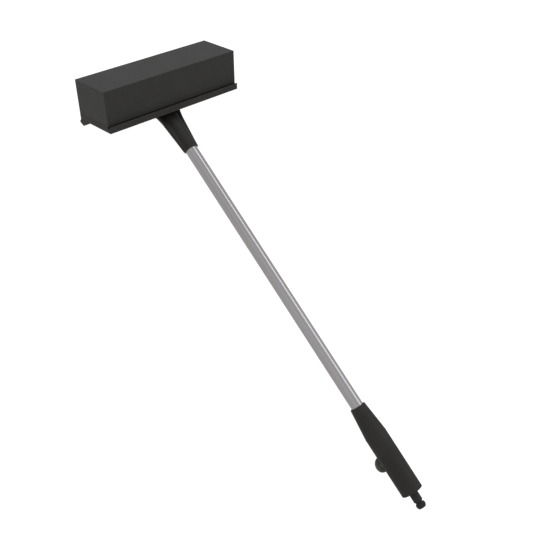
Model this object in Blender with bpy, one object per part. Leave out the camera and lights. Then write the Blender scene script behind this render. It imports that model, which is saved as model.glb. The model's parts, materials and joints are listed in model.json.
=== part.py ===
"""Water-fed window washing head on a tube handle with a shut-off valve, piece by piece.

The tool lies level on a floor. X runs along the head, the tube runs towards -Y and +Z
is up. It rests at Z = 0 on the edge of its rubber blade and on the face of its valve
knob. The origin is the middle of the base of its bounding box. All sizes are in metres.

Three empties carry the pieces. "head_frame" has its Z along the head's own normal and
its origin on the plate's underside, where the tube's axis meets it. "pole_frame" starts
at the same point, with its Z along the tube, so a height in it is a station along the
tool. "valve_axis" stands on the tube's axis at the valve, with Z up.
"""

import math

import bmesh
import bpy
from mathutils import Matrix, Vector

# --- clearances and mesh fineness ---
GAP = 0.0003                 # between pieces that touch
THREAD_GAP = 0.0003          # between a screw's shank and its hole
SMALL_SHANK = 0.0012         # radius
LARGE_SHANK = 0.0015
OVERCUT = 0.004              # how far a cutter runs past the faces that it opens
WELD = 0.000001
SHARP_ANGLE = math.radians(35)
ROUND_STEPS = 32             # segments round the large turned pieces
INNER_STEPS = 20             # segments round the small turned pieces
SCREW_STEPS = 8              # segments round a screw
SEAL_SECTION_STEPS = 6       # segments round the section of a seal

HEAD_CLEARANCE = 0.0003      # round a screw's head
SHORT_BITE = 0.0005          # how much deeper a blind hole goes than its screw

# --- head ---
HEAD_LENGTH = 0.300
HEAD_LEAN = math.radians(40)     # from the tube's square direction to the head's normal
BLOCK_DEPTH = 0.0873
BLOCK_HEIGHT = 0.0632
PLATE_THICKNESS = 0.0115
LIP_PROUD = 0.0066               # lip's front face ahead of the block's front face
LIP_WALL = 0.0027
LIP_RISE = 0.0008                # lip's top above the plate's top
SLOT_FLOOR = 0.0035              # water slot's floor above the plate's underside
SLOT_END_WALL = 0.0027
SLOT_END_NOTCH = 0.0030          # how far the slot's end walls stop below the plate's top

# --- water channel in the plate ---
CHANNEL_FLOOR = 0.0040
LEDGE_HEIGHT = 0.0072
LEDGE_WIDTH = 0.0070
LEDGE_SHIFT = 0.0005             # outer screw lines in from the ledge's middle
LEDGE_EXTRA = 0.0010             # extra ledge at the rear and at the ends
COVER_END_WALL = 0.0100
COVER_FRONT_WALL = 0.00265
COVER_REAR = 0.0160
ISLAND_HALF = 0.0360             # solid ground under the neck's screws, each side
BAND_FRONT = -0.0160
BAND_REAR = 0.0130
GASKET_THICKNESS = 0.0008
COVER_TOP_DROP = 0.0001          # cover's top below the plate's top
OUTLET_RADIUS = 0.0012
OUTLET_HEIGHT = 0.0064
OUTLET_PITCH = 0.020
OUTLET_COUNT = 12
COVER_SCREW_PITCH = 0.060
COVER_SCREW_HEAD = 0.0026
COVER_SCREW_HEAD_DEPTH = 0.0018
COVER_SCREW_DROP = 0.0002        # head's top below the cover's top
COVER_SCREW_TIP = 0.0022

# --- block and its backing ---
BACKING_THICKNESS = 0.0040
BACKING_INSET = 0.0040
BLOCK_SCREW_LINE = 0.0203
BLOCK_SCREW_INNER = 0.050
BLOCK_SCREW_OUTER = 0.120
BLOCK_SCREW_HEAD = 0.0036
BLOCK_SCREW_HEAD_LOW = 0.0002
BLOCK_SCREW_HEAD_TOP = 0.0023

# --- blade rail and blade ---
RAIL_SETBACK = 0.0               # rail's rear face from the plate's rear edge
RAIL_WIDTH = 0.0122
RAIL_REAR_DEPTH = 0.0072
RAIL_FRONT_RISE = 0.0018         # front wall's end above the rear wall's end
RAIL_SCREW_PITCH = 0.064
RAIL_SCREW_COUNT = 5
RAIL_SCREW_DEPTH = 0.0070        # below the plate's underside
RAIL_SCREW_SHIFT = 0.0005        # screw line ahead of the rail's middle
RAIL_SCREW_HEAD = 0.0030
RAIL_SCREW_HEAD_BASE = 0.0092
RAIL_SCREW_HEAD_DROP = 0.0003    # head's top below the plate's top
BLADE_PROUD = 0.0020
BLADE_THICKNESS = 0.0025
BLADE_FROM_REAR = 0.0035         # blade's middle from the rail's rear face
BEAD_WIDTH = 0.0038
BEAD_HEIGHT = 0.0032
BEAD_ABOVE_END = 0.0024          # bead's lower side above the rear wall's end
CLIP_LENGTH = 0.0030

# --- neck ---
NECK_LENGTH = 0.107
SOCKET_DEPTH = 0.069
SOCKET_WALL = 0.0020
THROAT_RADIUS = 0.0115
THROAT_LENGTH = 0.034
WING_EDGE = 0.0047               # half the wings' thickness
WING_ROUNDING = 0.8              # share of it that the edges' rounding takes
WING_PROUD = 0.0015              # how far the wings stand out of the socket at its end
WING_END_CHAMFER = 0.0005
WING_END = 0.0015                # wings' end short of the neck's end
WING_BASE = -0.012
WING_SLOPE = 0.1075
WING_FLARE = 6.0                 # extra half-width per metre squared near the plate
WING_FLARE_START = 0.045
WING_FLARE_END = 0.012
WING_STEPS = 4
PASSAGE_RADIUS = 0.0045
PASSAGE_REACH = 0.0125           # how far its cutter reaches into the plate
FOOT_HALF = 0.0360
FOOT_FRONT = -0.0400
FOOT_THICKNESS = 0.0030
FOOT_FROM_RAIL = 0.0009
NECK_SCREW_HALF = 0.0290
NECK_SCREW_FRONT_INSET = 0.0120
NECK_SCREW_REAR_INSET = 0.0061
NECK_SCREW_DEPTH = 0.0042
NECK_SCREW_HEAD = 0.0032
NECK_SCREW_HEAD_HEIGHT = 0.0020
FACE_SEAL_MAJOR = 0.0115
FACE_SEAL_MINOR = 0.0009
FACE_SEAL_SHIFT = -0.0014
FACE_GROOVE_DEPTH = 0.0024
WASHER_THICKNESS = 0.0020
TUBE_WASHER_INSIDE = 0.0030      # how far the tube's washer reaches inside its bore
TUBE_SCREW_STATION_IN_NECK = 0.010   # from the neck's end
TUBE_SCREW_HEAD = 0.0022
TUBE_SCREW_HEAD_HEIGHT = 0.0012
TUBE_SCREW_BITE = 0.0025             # how far a screw's tip goes in from the tube's surface

# --- tube ---
TUBE_RADIUS = 0.0120
TUBE_WALL = 0.0010
BARE_TUBE = 0.573                # between the neck and the grip

# --- grip ---
GRIP_LENGTH = 0.1825
GRIP_TAPER = 0.061
GRIP_FRONT_WALL = 0.0029
GRIP_FULL_RADIUS = 0.0213
GRIP_END_RADIUS = 0.0210
GRIP_CAVITY_RADIUS = 0.0170
GRIP_CAP_RADIUS = 0.0187
GRIP_EDGE = 0.0009
GRIP_BLEND = 0.0015              # half the length of the bend at the taper's end
GRIP_SCREW_FROM_START = 0.035
GRIP_SCREW_FROM_VALVE = 0.037
GRIP_SCREW_HEAD = 0.0026
GRIP_SCREW_HEAD_HEIGHT = 0.0016
GRIP_SCREW_DROP = 0.0005         # head's face below the grip's surface
GRIP_SCREW_BITE = 0.0052         # how far the rear screw goes in from the cavity's wall

# --- valve, on stations measured from the valve's axis ---
VALVE_FROM_GRIP_END = 0.0645
VALVE_BODY_FRONT = -0.0230
VALVE_BODY_REAR = 0.0470
TUBE_TO_VALVE = 0.0310           # from the tube's end to the valve body's shoulder
SPIGOT_IN_TUBE = 0.0190
SPIGOT_CLEARANCE = 0.0004
SPIGOT_EDGE = 0.0006
TUBE_SEAL_START = 0.0086         # seal's groove from the spigot's tip
TUBE_SEAL_MINOR = 0.00075
TUBE_SEAL_DEPTH = 0.0017
WATER_BORE = 0.0040
BALL_RADIUS = 0.0080
BALL_STEPS = 14
BALL_BORE = 0.0035
CHAMBER_RADIUS = 0.0090
SEAT_DEPTH = 0.0096
SEAT_HOLE = 0.0042
SEAT_RIM = 0.0070
SEAT_STEPS = 4
SPINDLE_RADIUS = 0.0030
TONGUE_WIDTH = 0.0030
TONGUE_PLAY = 0.0002
TONGUE_LENGTH = 0.0056
TONGUE_TOP = 0.0057
SPINDLE_START = 0.0086
SPINDLE_BORE = 0.0064            # depth of the knob screw's hole
TONGUE_ROOT = 0.0010             # how far the tongue runs into the spindle
GLAND_BORE_RADIUS = 0.0065
GLAND_FLOOR = 0.0108
SPINDLE_SEAL_MINOR = 0.0014
GLAND_FLANGE_RADIUS = 0.0076
GLAND_CLEARANCE = 0.0004
GLAND_EDGE = 0.0005
GLAND_RECESS = 0.0005            # gland nut's face below the grip's surface
RETAINER_FLANGE_RADIUS = 0.0140
RETAINER_FLANGE = 0.0042
RETAINER_SEAL_STATION = 0.0290
RETAINER_SEAL_MINOR = 0.0006
RETAINER_SEAL_PLAY = 0.0001
NIPPLE_SPIGOT_RADIUS = 0.0063
NIPPLE_SPIGOT_LENGTH = 0.0132

# --- knob ---
KNOB_RADIUS = 0.0150
KNOB_THICKNESS = 0.0040
KNOB_EDGE = 0.0008
KNOB_HUB_RADIUS = 0.0055
KNOB_HUB_LENGTH = 0.0035
KNOB_WEB = 0.0005
KNOB_SCREW_HEAD = 0.0031
KNOB_SCREW_RECESS = 0.0018
KNOB_SCREW_DROP = 0.0003         # head's face behind the knob's face
KNOB_SCREW_BITE = 0.0050

# --- hose nipple, on stations measured from the grip's end ---
NIPPLE_FLANGE_RADIUS = 0.0120
NIPPLE_FLANGE = 0.0039
NIPPLE_BARREL_RADIUS = 0.0087
NIPPLE_BARREL_END = 0.0200
NIPPLE_NECK_RADIUS = 0.0066
NIPPLE_NECK_START = 0.0215
NIPPLE_NECK_END = 0.0233
NIPPLE_HEAD_RADIUS = 0.0092
NIPPLE_HEAD_START = 0.0251
NIPPLE_TIP_RADIUS = 0.0076
NIPPLE_TIP = 0.0335
NIPPLE_BORE = 0.0052
NIPPLE_SEAL_MINOR = 0.00085
NIPPLE_SEAL_DEPTH = 0.0016
NIPPLE_EDGE = 0.0004
NIPPLE_LIP = 0.0020              # straight part beyond the seal
NIPPLE_WASHER_INSET = 0.0005
NIPPLE_SEAL_STATION = 0.0276
CAP_RECESS = 0.0002
CAP_CLEARANCE = 0.0004
CAP_EDGE = 0.0006

# --- sizes that follow from the ones above ---
LEAN_COS = math.cos(HEAD_LEAN)
LEAN_SIN = math.sin(HEAD_LEAN)
LEAN_TAN = math.tan(HEAD_LEAN)
BLOCK_BASE = PLATE_THICKNESS + GAP
BLOCK_TOP = BLOCK_BASE + BLOCK_HEIGHT
BACKING_TOP = BLOCK_BASE + BACKING_THICKNESS
PLATE_FRONT = -BLOCK_DEPTH / 2 - LIP_PROUD
LIP_INSIDE = PLATE_FRONT + LIP_WALL
COVER_FRONT = -BLOCK_DEPTH / 2 + COVER_FRONT_WALL
CHANNEL_FRONT = COVER_FRONT + LEDGE_WIDTH
CHANNEL_REAR = COVER_REAR - LEDGE_WIDTH - LEDGE_EXTRA
COVER_HALF = HEAD_LENGTH / 2 - COVER_END_WALL
CHANNEL_HALF = COVER_HALF - LEDGE_WIDTH - LEDGE_EXTRA
GASKET_BASE = LEDGE_HEIGHT + GAP
COVER_BASE = GASKET_BASE + GASKET_THICKNESS + GAP
COVER_TOP = PLATE_THICKNESS - COVER_TOP_DROP

RAIL_REAR = (BLOCK_DEPTH / 2 - RAIL_SETBACK) * LEAN_COS      # along +Y from the head's origin
RAIL_FRONT = RAIL_REAR - RAIL_WIDTH
RAIL_END = -(RAIL_REAR * LEAN_TAN + GAP / LEAN_COS + RAIL_REAR_DEPTH)
AXIS_HEIGHT = BLADE_PROUD - RAIL_END                         # tube's axis above the floor
FOOT_REAR = RAIL_FRONT / LEAN_COS - FOOT_FROM_RAIL

SOCKET_BORE = TUBE_RADIUS + GAP
SOCKET_RADIUS = SOCKET_BORE + SOCKET_WALL
SOCKET_FLOOR = NECK_LENGTH - SOCKET_DEPTH
WING_TIP = SOCKET_RADIUS + WING_PROUD
GRIP_FRONT_RADIUS = SOCKET_BORE + GRIP_FRONT_WALL
TUBE_START = SOCKET_FLOOR + WASHER_THICKNESS + 2 * GAP
GRIP_START = NECK_LENGTH + BARE_TUBE
GRIP_END = GRIP_START + GRIP_LENGTH
VALVE_STATION = GRIP_END - VALVE_FROM_GRIP_END
TUBE_END = VALVE_STATION + VALVE_BODY_FRONT - TUBE_TO_VALVE
SPIGOT_RADIUS = TUBE_RADIUS - TUBE_WALL - SPIGOT_CLEARANCE
RETAINER_END = VALVE_BODY_REAR + GAP + RETAINER_FLANGE
NIPPLE_WASHER_START = RETAINER_END + GAP
NIPPLE_BASE = NIPPLE_WASHER_START + WASHER_THICKNESS + GAP
NIPPLE_BASE_END = NIPPLE_BASE + NIPPLE_FLANGE
TIP_STATION = GRIP_END + NIPPLE_TIP

HEAD_REACH = BLOCK_DEPTH / 2 * LEAN_COS + BLOCK_TOP * LEAN_SIN
HEAD_Y = (TIP_STATION - HEAD_REACH) / 2


# --- modelling helpers ---
def clear_scene():
    for item in list(bpy.data.objects):
        bpy.data.objects.remove(item, do_unlink=True)


def make_material(name, colour, roughness, metallic=0.0):
    material = bpy.data.materials.new(name)
    material.use_nodes = True
    shader = material.node_tree.nodes["Principled BSDF"]
    shader.inputs["Base Color"].default_value = (*colour, 1.0)
    shader.inputs["Roughness"].default_value = roughness
    shader.inputs["Metallic"].default_value = metallic
    return material


def add_empty(name, location, rotation):
    empty = bpy.data.objects.new(name, None)
    empty.location = location
    empty.rotation_euler = rotation
    bpy.context.scene.collection.objects.link(empty)
    return empty


def add_object(name, bm, material, parent):
    """Weld a bmesh, turn its faces outward and make it a named object."""
    bmesh.ops.remove_doubles(bm, verts=bm.verts, dist=WELD)
    bmesh.ops.recalc_face_normals(bm, faces=bm.faces)
    mesh = bpy.data.meshes.new(name)
    bm.to_mesh(mesh)
    bm.free()
    if material:
        mesh.materials.append(material)
    mesh.shade_smooth()
    mesh.set_sharp_from_angle(angle=SHARP_ANGLE)
    item = bpy.data.objects.new(name, mesh)
    bpy.context.scene.collection.objects.link(item)
    item.parent = parent
    return item


def spin_into(bm, outline, steps, place=None):
    """Turn (radius, height) points about Z; an outline off the axis closes on itself."""
    before = len(bm.verts)
    verts = [bm.verts.new((radius, 0, height)) for radius, height in outline]
    edges = [bm.edges.new(pair) for pair in zip(verts, verts[1:])]
    if outline[0][0] > 0:
        edges.append(bm.edges.new((verts[-1], verts[0])))
    bmesh.ops.spin(bm, geom=verts + edges, cent=(0, 0, 0), axis=(0, 0, 1),
                   angle=2 * math.pi, steps=steps)
    if place:
        bm.verts.ensure_lookup_table()
        bmesh.ops.transform(bm, matrix=place, verts=bm.verts[before:])


def box_into(bm, low, high):
    centre = (Vector(low) + Vector(high)) / 2
    size = Vector(high) - Vector(low)
    matrix = Matrix.Translation(centre) @ Matrix.Diagonal((*size, 1))
    bmesh.ops.create_cube(bm, size=1, matrix=matrix)


def extrude_into(bm, points, reach):
    """Fill a flat outline of 3-D points and push it along a vector."""
    face = bm.faces.new([bm.verts.new(point) for point in points])
    made = bmesh.ops.extrude_face_region(bm, geom=[face])
    moved = [item for item in made["geom"] if isinstance(item, bmesh.types.BMVert)]
    bmesh.ops.translate(bm, vec=reach, verts=moved)


def turned(name, outline, material, parent, steps=INNER_STEPS, places=(None,)):
    bm = bmesh.new()
    for place in places:
        spin_into(bm, outline, steps, place)
    return add_object(name, bm, material, parent)


def screw_set(name, outline, material, parent, places):
    """One screw for each place, numbered from 1; they share a mesh."""
    first = turned(name + "_1", outline, material, parent, SCREW_STEPS)
    first.matrix_basis = places[0]
    for number, place in enumerate(places[1:], 2):
        copy = bpy.data.objects.new(f"{name}_{number}", first.data)
        bpy.context.scene.collection.objects.link(copy)
        copy.parent = parent
        copy.matrix_basis = place


def slab(name, low, high, material, parent):
    bm = bmesh.new()
    box_into(bm, low, high)
    return add_object(name, bm, material, parent)


def bar(name, section, half_length, material, parent):
    """Push a (y, z) section along X, from -half_length to half_length."""
    bm = bmesh.new()
    points = [(-half_length, y, z) for y, z in section]
    extrude_into(bm, points, Vector((2 * half_length, 0, 0)))
    return add_object(name, bm, material, parent)


def ring_section(major, minor, height):
    """The round section of a seal, as (radius, height) points."""
    turn = 2 * math.pi / SEAL_SECTION_STEPS
    angles = [(step + 0.5) * turn for step in range(SEAL_SECTION_STEPS)]
    return [(major + minor * math.cos(a), height + minor * math.sin(a)) for a in angles]


def pin(radius, low, high):
    """A plain round bar on the axis, as (radius, height) points."""
    return [(0, low), (radius, low), (radius, high), (0, high)]


def screw(head_radius, head_top, head_base, shank_radius, tip):
    """A cheese-head screw; its head faces up when head_top is above head_base."""
    return [(0, head_top), (head_radius, head_top), (head_radius, head_base),
            (shank_radius, head_base), (shank_radius, tip), (0, tip)]


def carve(target, operation, tools):
    """Join or cut with helper objects, which the finished model leaves out."""
    for tool in tools:
        modifier = target.modifiers.new(operation.lower() + " " + tool.name, "BOOLEAN")
        modifier.operation = operation
        modifier.solver = "EXACT"
        modifier.object = tool
        tool.hide_render = True
        tool.display_type = "WIRE"


def soften(target, width, segments=1):
    modifier = target.modifiers.new("soft edges", "BEVEL")
    modifier.width = width
    modifier.segments = segments
    modifier.limit_method = "ANGLE"


def at(x, y, z=0.0):
    return Matrix.Translation((x, y, z))


def radial(station):
    """Place a Z-turned shape on the pole frame so that its +Z points down, away from the axis."""
    return Matrix.Translation((0, 0, station)) @ Matrix.Rotation(math.radians(90), 4, "X")


# --- screw positions, shared by the screws and their holes ---
def mirrored(xs, ys):
    return [at(side * x, y) for x in xs for y in ys for side in (-1, 1)]


def neck_screw_places():
    rows = (FOOT_FRONT + NECK_SCREW_FRONT_INSET, FOOT_REAR - NECK_SCREW_REAR_INSET)
    return mirrored([NECK_SCREW_HALF], rows)


def block_screw_places():
    return mirrored([BLOCK_SCREW_INNER, BLOCK_SCREW_OUTER], [BLOCK_SCREW_LINE])


def cover_screw_places():
    end = COVER_HALF - LEDGE_WIDTH / 2 - LEDGE_SHIFT
    rows = (COVER_FRONT + LEDGE_WIDTH / 2, COVER_REAR - LEDGE_WIDTH / 2 - LEDGE_SHIFT)
    return mirrored([end, COVER_SCREW_PITCH], rows)


def rail_screw_places():
    y = BLOCK_DEPTH / 2 - RAIL_SETBACK - RAIL_WIDTH / LEAN_COS / 2 - RAIL_SCREW_SHIFT
    first = -(RAIL_SCREW_COUNT - 1) / 2
    return [at((first + step) * RAIL_SCREW_PITCH, y) for step in range(RAIL_SCREW_COUNT)]


# --- head ---
def make_block(frame, foam, plastic, steel):
    half, deep = HEAD_LENGTH / 2, BLOCK_DEPTH / 2
    block = slab("sponge_block", (-half, -deep, BLOCK_BASE), (half, deep, BLOCK_TOP), foam, frame)
    inner, near = half - BACKING_INSET, deep - BACKING_INSET
    pocket = slab("block_pocket", (-inner, -near, BLOCK_BASE - OVERCUT),
                  (inner, near, BACKING_TOP + GAP), None, frame)
    carve(block, "DIFFERENCE", [pocket])
    backing = slab("block_backing", (GAP - inner, GAP - near, BLOCK_BASE),
                   (inner - GAP, near - GAP, BACKING_TOP), plastic, frame)
    hole = pin(LARGE_SHANK + THREAD_GAP, BLOCK_BASE - OVERCUT, BACKING_TOP - SHORT_BITE)
    holes = turned("backing_holes", hole, None, frame, SCREW_STEPS, block_screw_places())
    carve(backing, "DIFFERENCE", [holes])
    shape = screw(BLOCK_SCREW_HEAD, BLOCK_SCREW_HEAD_LOW, BLOCK_SCREW_HEAD_TOP, LARGE_SHANK,
                  BACKING_TOP - SHORT_BITE - GAP)
    screw_set("block_screw", shape, steel, frame, block_screw_places())


def channel_outline(height):
    """The wide pockets left and right, joined by a narrower band over the neck."""
    right = [(ISLAND_HALF, BAND_FRONT), (ISLAND_HALF, CHANNEL_FRONT),
             (CHANNEL_HALF, CHANNEL_FRONT), (CHANNEL_HALF, CHANNEL_REAR),
             (ISLAND_HALF, CHANNEL_REAR), (ISLAND_HALF, BAND_REAR)]
    left = [(-x, y) for x, y in reversed(right)]
    return [(x, y, height) for x, y in right + left]


def plate_cutters(frame, pole):
    bm = bmesh.new()
    extrude_into(bm, channel_outline(CHANNEL_FLOOR), Vector((0, 0, PLATE_THICKNESS)))
    channel = add_object("plate_channel", bm, None, frame)
    top = PLATE_THICKNESS + OVERCUT
    recess = slab("plate_recess", (-COVER_HALF, COVER_FRONT, LEDGE_HEIGHT),
                  (COVER_HALF, COVER_REAR, top), None, frame)
    end = HEAD_LENGTH / 2 - SLOT_END_WALL
    slot = slab("plate_slot", (-end, LIP_INSIDE, SLOT_FLOOR), (end, -BLOCK_DEPTH / 2, top),
                None, frame)
    passage = turned("plate_passage", pin(PASSAGE_RADIUS, -PASSAGE_REACH, PASSAGE_REACH), None,
                     pole)
    lying = Matrix.Rotation(math.radians(90), 4, "X")
    outlet = pin(OUTLET_RADIUS, -CHANNEL_FRONT - OVERCUT / 4, -LIP_INSIDE - OVERCUT / 4)
    first = -(OUTLET_COUNT - 1) / 2
    places = [at((first + step) * OUTLET_PITCH, 0, OUTLET_HEIGHT) @ lying
              for step in range(OUTLET_COUNT)]
    outlets = turned("plate_outlets", outlet, None, frame, SCREW_STEPS, places)
    return [channel, recess, slot, passage, outlets]


def plate_screw_holes(frame):
    top = PLATE_THICKNESS + OVERCUT
    large, small = LARGE_SHANK + THREAD_GAP, SMALL_SHANK + THREAD_GAP
    block = screw(BLOCK_SCREW_HEAD + HEAD_CLEARANCE, -OVERCUT, BLOCK_SCREW_HEAD_TOP + GAP, large,
                  top)
    rail = screw(RAIL_SCREW_HEAD + HEAD_CLEARANCE, top, RAIL_SCREW_HEAD_BASE - GAP, large,
                 -OVERCUT)
    cover = pin(small, COVER_SCREW_TIP - SHORT_BITE, LEDGE_HEIGHT + OVERCUT)
    neck = pin(large, -OVERCUT, NECK_SCREW_DEPTH + SHORT_BITE)
    bm = bmesh.new()
    groups = ((block, block_screw_places()), (rail, rail_screw_places()),
              (cover, cover_screw_places()), (neck, neck_screw_places()))
    for outline, places in groups:
        for place in places:
            spin_into(bm, outline, SCREW_STEPS, place)
    return add_object("plate_screw_holes", bm, None, frame)


def make_plate(frame, pole, plastic):
    deep = BLOCK_DEPTH / 2
    notch = PLATE_THICKNESS - SLOT_END_NOTCH
    lip_top = PLATE_THICKNESS + LIP_RISE
    section = [(PLATE_FRONT, 0), (deep, 0), (deep, PLATE_THICKNESS), (-deep, PLATE_THICKNESS),
               (-deep, notch), (LIP_INSIDE, notch), (LIP_INSIDE, lip_top),
               (PLATE_FRONT, lip_top)]
    plate = bar("head_plate", section, HEAD_LENGTH / 2, plastic, frame)
    carve(plate, "DIFFERENCE", plate_cutters(frame, pole) + [plate_screw_holes(frame)])


def make_channel_cover(frame, plastic, rubber, steel):
    low = (GAP - COVER_HALF, COVER_FRONT + GAP)
    high = (COVER_HALF - GAP, COVER_REAR - GAP)
    cover = slab("channel_cover", (*low, COVER_BASE), (*high, COVER_TOP), plastic, frame)
    head_base = COVER_TOP - COVER_SCREW_HEAD_DEPTH
    hole = screw(COVER_SCREW_HEAD + HEAD_CLEARANCE, COVER_TOP + OVERCUT, head_base - GAP,
                 SMALL_SHANK + THREAD_GAP, COVER_BASE - OVERCUT)
    holes = turned("cover_holes", hole, None, frame, SCREW_STEPS, cover_screw_places())
    carve(cover, "DIFFERENCE", [holes])
    gasket_top = GASKET_BASE + GASKET_THICKNESS
    gasket = slab("channel_gasket", (*low, GASKET_BASE), (*high, gasket_top), rubber, frame)
    opening = slab("gasket_opening",
                   (-CHANNEL_HALF - GAP, CHANNEL_FRONT - GAP, GASKET_BASE - OVERCUT),
                   (CHANNEL_HALF + GAP, CHANNEL_REAR + GAP, gasket_top + OVERCUT), None, frame)
    hole = pin(SMALL_SHANK + 2 * THREAD_GAP, GASKET_BASE - OVERCUT, gasket_top + OVERCUT)
    holes = turned("gasket_holes", hole, None, frame, SCREW_STEPS, cover_screw_places())
    carve(gasket, "DIFFERENCE", [opening, holes])
    shape = screw(COVER_SCREW_HEAD, COVER_TOP - COVER_SCREW_DROP, head_base, SMALL_SHANK,
                  COVER_SCREW_TIP)
    screw_set("cover_screw", shape, steel, frame, cover_screw_places())


# --- blade rail: its section is drawn square to the tube, so it needs no rotation ---
def under_plate(y):
    """Height of the plate's underside, less the gap, at a distance along +Y."""
    return -(y * LEAN_TAN + GAP / LEAN_COS)


def rail_section():
    """The rail's section as (y, z) points: a block with a keyhole slot open at its end."""
    middle = RAIL_REAR - BLADE_FROM_REAR
    lip = BLADE_THICKNESS / 2 + GAP
    key = BEAD_WIDTH / 2 + GAP
    key_low = RAIL_END + BEAD_ABOVE_END - GAP
    key_high = key_low + BEAD_HEIGHT + 2 * GAP
    front_end = RAIL_END + RAIL_FRONT_RISE
    return [(RAIL_FRONT, under_plate(RAIL_FRONT)), (RAIL_REAR, under_plate(RAIL_REAR)),
            (RAIL_REAR, RAIL_END), (middle + lip, RAIL_END), (middle + lip, key_low),
            (middle + key, key_low), (middle + key, key_high), (middle - key, key_high),
            (middle - key, key_low), (middle - lip, key_low), (middle - lip, front_end),
            (RAIL_FRONT, front_end)]


def blade_section():
    middle = RAIL_REAR - BLADE_FROM_REAR
    half, key = BLADE_THICKNESS / 2, BEAD_WIDTH / 2
    low = RAIL_END + BEAD_ABOVE_END
    high = low + BEAD_HEIGHT
    return [(middle - half, -AXIS_HEIGHT), (middle + half, -AXIS_HEIGHT), (middle + half, low),
            (middle + key, low), (middle + key, high), (middle - key, high),
            (middle - key, low), (middle - half, low)]


def make_rail(rail_frame, frame, plastic, rubber, steel):
    rail_half = HEAD_LENGTH / 2 - CLIP_LENGTH
    rail = bar("blade_rail", rail_section(), rail_half, plastic, rail_frame)
    hole = pin(LARGE_SHANK + THREAD_GAP, -RAIL_SCREW_DEPTH - SHORT_BITE, OVERCUT)
    holes = turned("rail_holes", hole, None, frame, SCREW_STEPS, rail_screw_places())
    carve(rail, "DIFFERENCE", [holes])
    shape = screw(RAIL_SCREW_HEAD, PLATE_THICKNESS - RAIL_SCREW_HEAD_DROP, RAIL_SCREW_HEAD_BASE,
                  LARGE_SHANK, -RAIL_SCREW_DEPTH)
    screw_set("rail_screw", shape, steel, frame, rail_screw_places())
    bar("squeegee_blade", blade_section(), rail_half, rubber, rail_frame)
    end = RAIL_END + RAIL_FRONT_RISE
    corners = [(RAIL_FRONT, under_plate(RAIL_FRONT)), (RAIL_REAR, under_plate(RAIL_REAR)),
               (RAIL_REAR, RAIL_END), (RAIL_FRONT, end)]
    for name, start in (("rail_end_clip_left", -HEAD_LENGTH / 2),
                        ("rail_end_clip_right", rail_half + GAP)):
        bm = bmesh.new()
        points = [(start, y, z) for y, z in corners]
        extrude_into(bm, points, Vector((CLIP_LENGTH - GAP, 0, 0)))
        add_object(name, bm, plastic, rail_frame)


# --- neck ---
def wing_half(station):
    """Half-width of the neck's wings at a station along the tube's axis."""
    flare = max(WING_FLARE_START - max(station, WING_FLARE_END), 0)
    return WING_TIP + WING_SLOPE * (NECK_LENGTH - station) + WING_FLARE * flare ** 2


def make_wings(pole):
    steps = [WING_FLARE_START + (WING_FLARE_END - WING_FLARE_START) * step / WING_STEPS
             for step in range(WING_STEPS + 1)]
    stations = [NECK_LENGTH - WING_END, *steps, WING_BASE]
    right = [(wing_half(station), station) for station in stations]
    left = [(-x, station) for x, station in reversed(right)]
    bm = bmesh.new()
    points = [(x, -WING_EDGE, station) for x, station in right + left]
    extrude_into(bm, points, Vector((0, 2 * WING_EDGE, 0)))
    wings = add_object("neck_wings", bm, None, pole)
    soften(wings, WING_EDGE * WING_ROUNDING, 3)
    return wings


def make_neck(frame, pole, plastic, rubber, steel):
    start = 2 * WING_BASE - SOCKET_RADIUS / 2
    edge = WING_END_CHAMFER
    core = [(0, start), (THROAT_RADIUS, start), (THROAT_RADIUS, THROAT_LENGTH - edge),
            (SOCKET_RADIUS, THROAT_LENGTH), (SOCKET_RADIUS, NECK_LENGTH - edge),
            (SOCKET_RADIUS - edge, NECK_LENGTH), (0, NECK_LENGTH)]
    neck = turned("neck", core, plastic, pole, ROUND_STEPS)
    foot = slab("neck_foot", (-FOOT_HALF, FOOT_FRONT, -GAP - FOOT_THICKNESS),
                (FOOT_HALF, FOOT_REAR, OVERCUT), None, frame)
    carve(neck, "UNION", [make_wings(pole), foot])
    side = 3 * FOOT_HALF
    above = slab("neck_above_plate", (-side, -side, -GAP), (side, side, side), None, frame)
    low = 2 * WING_BASE
    bore = [(0, low), (PASSAGE_RADIUS, low), (PASSAGE_RADIUS, SOCKET_FLOOR),
            (SOCKET_BORE, SOCKET_FLOOR), (SOCKET_BORE, NECK_LENGTH + OVERCUT),
            (0, NECK_LENGTH + OVERCUT)]
    tools = [above, turned("neck_bore", bore, None, pole, ROUND_STEPS)]
    inside = FACE_SEAL_MAJOR - FACE_SEAL_MINOR - GAP
    outside = FACE_SEAL_MAJOR + FACE_SEAL_MINOR + GAP
    groove = [(inside, OVERCUT), (outside, OVERCUT), (outside, -FACE_GROOVE_DEPTH),
              (inside, -FACE_GROOVE_DEPTH)]
    place = [at(0, FACE_SEAL_SHIFT)]
    tools.append(turned("neck_seal_groove", groove, None, frame, INNER_STEPS, place))
    hole = pin(LARGE_SHANK + THREAD_GAP, -FOOT_THICKNESS - OVERCUT, OVERCUT)
    tools.append(turned("neck_holes", hole, None, frame, SCREW_STEPS, neck_screw_places()))
    tools.append(turned("neck_side_hole", pin(SMALL_SHANK + THREAD_GAP, TUBE_RADIUS - OVERCUT,
                                              SOCKET_RADIUS + OVERCUT), None, pole,
                        SCREW_STEPS, [radial(NECK_LENGTH - TUBE_SCREW_STATION_IN_NECK)]))
    carve(neck, "DIFFERENCE", tools)
    seal = ring_section(FACE_SEAL_MAJOR, FACE_SEAL_MINOR, -GAP - FACE_SEAL_MINOR)
    turned("neck_face_seal", seal, rubber, frame, INNER_STEPS, place)
    base = -GAP - FOOT_THICKNESS - GAP
    shape = screw(NECK_SCREW_HEAD, base - NECK_SCREW_HEAD_HEIGHT, base, LARGE_SHANK,
                  NECK_SCREW_DEPTH)
    screw_set("neck_screw", shape, steel, frame, neck_screw_places())


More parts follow.
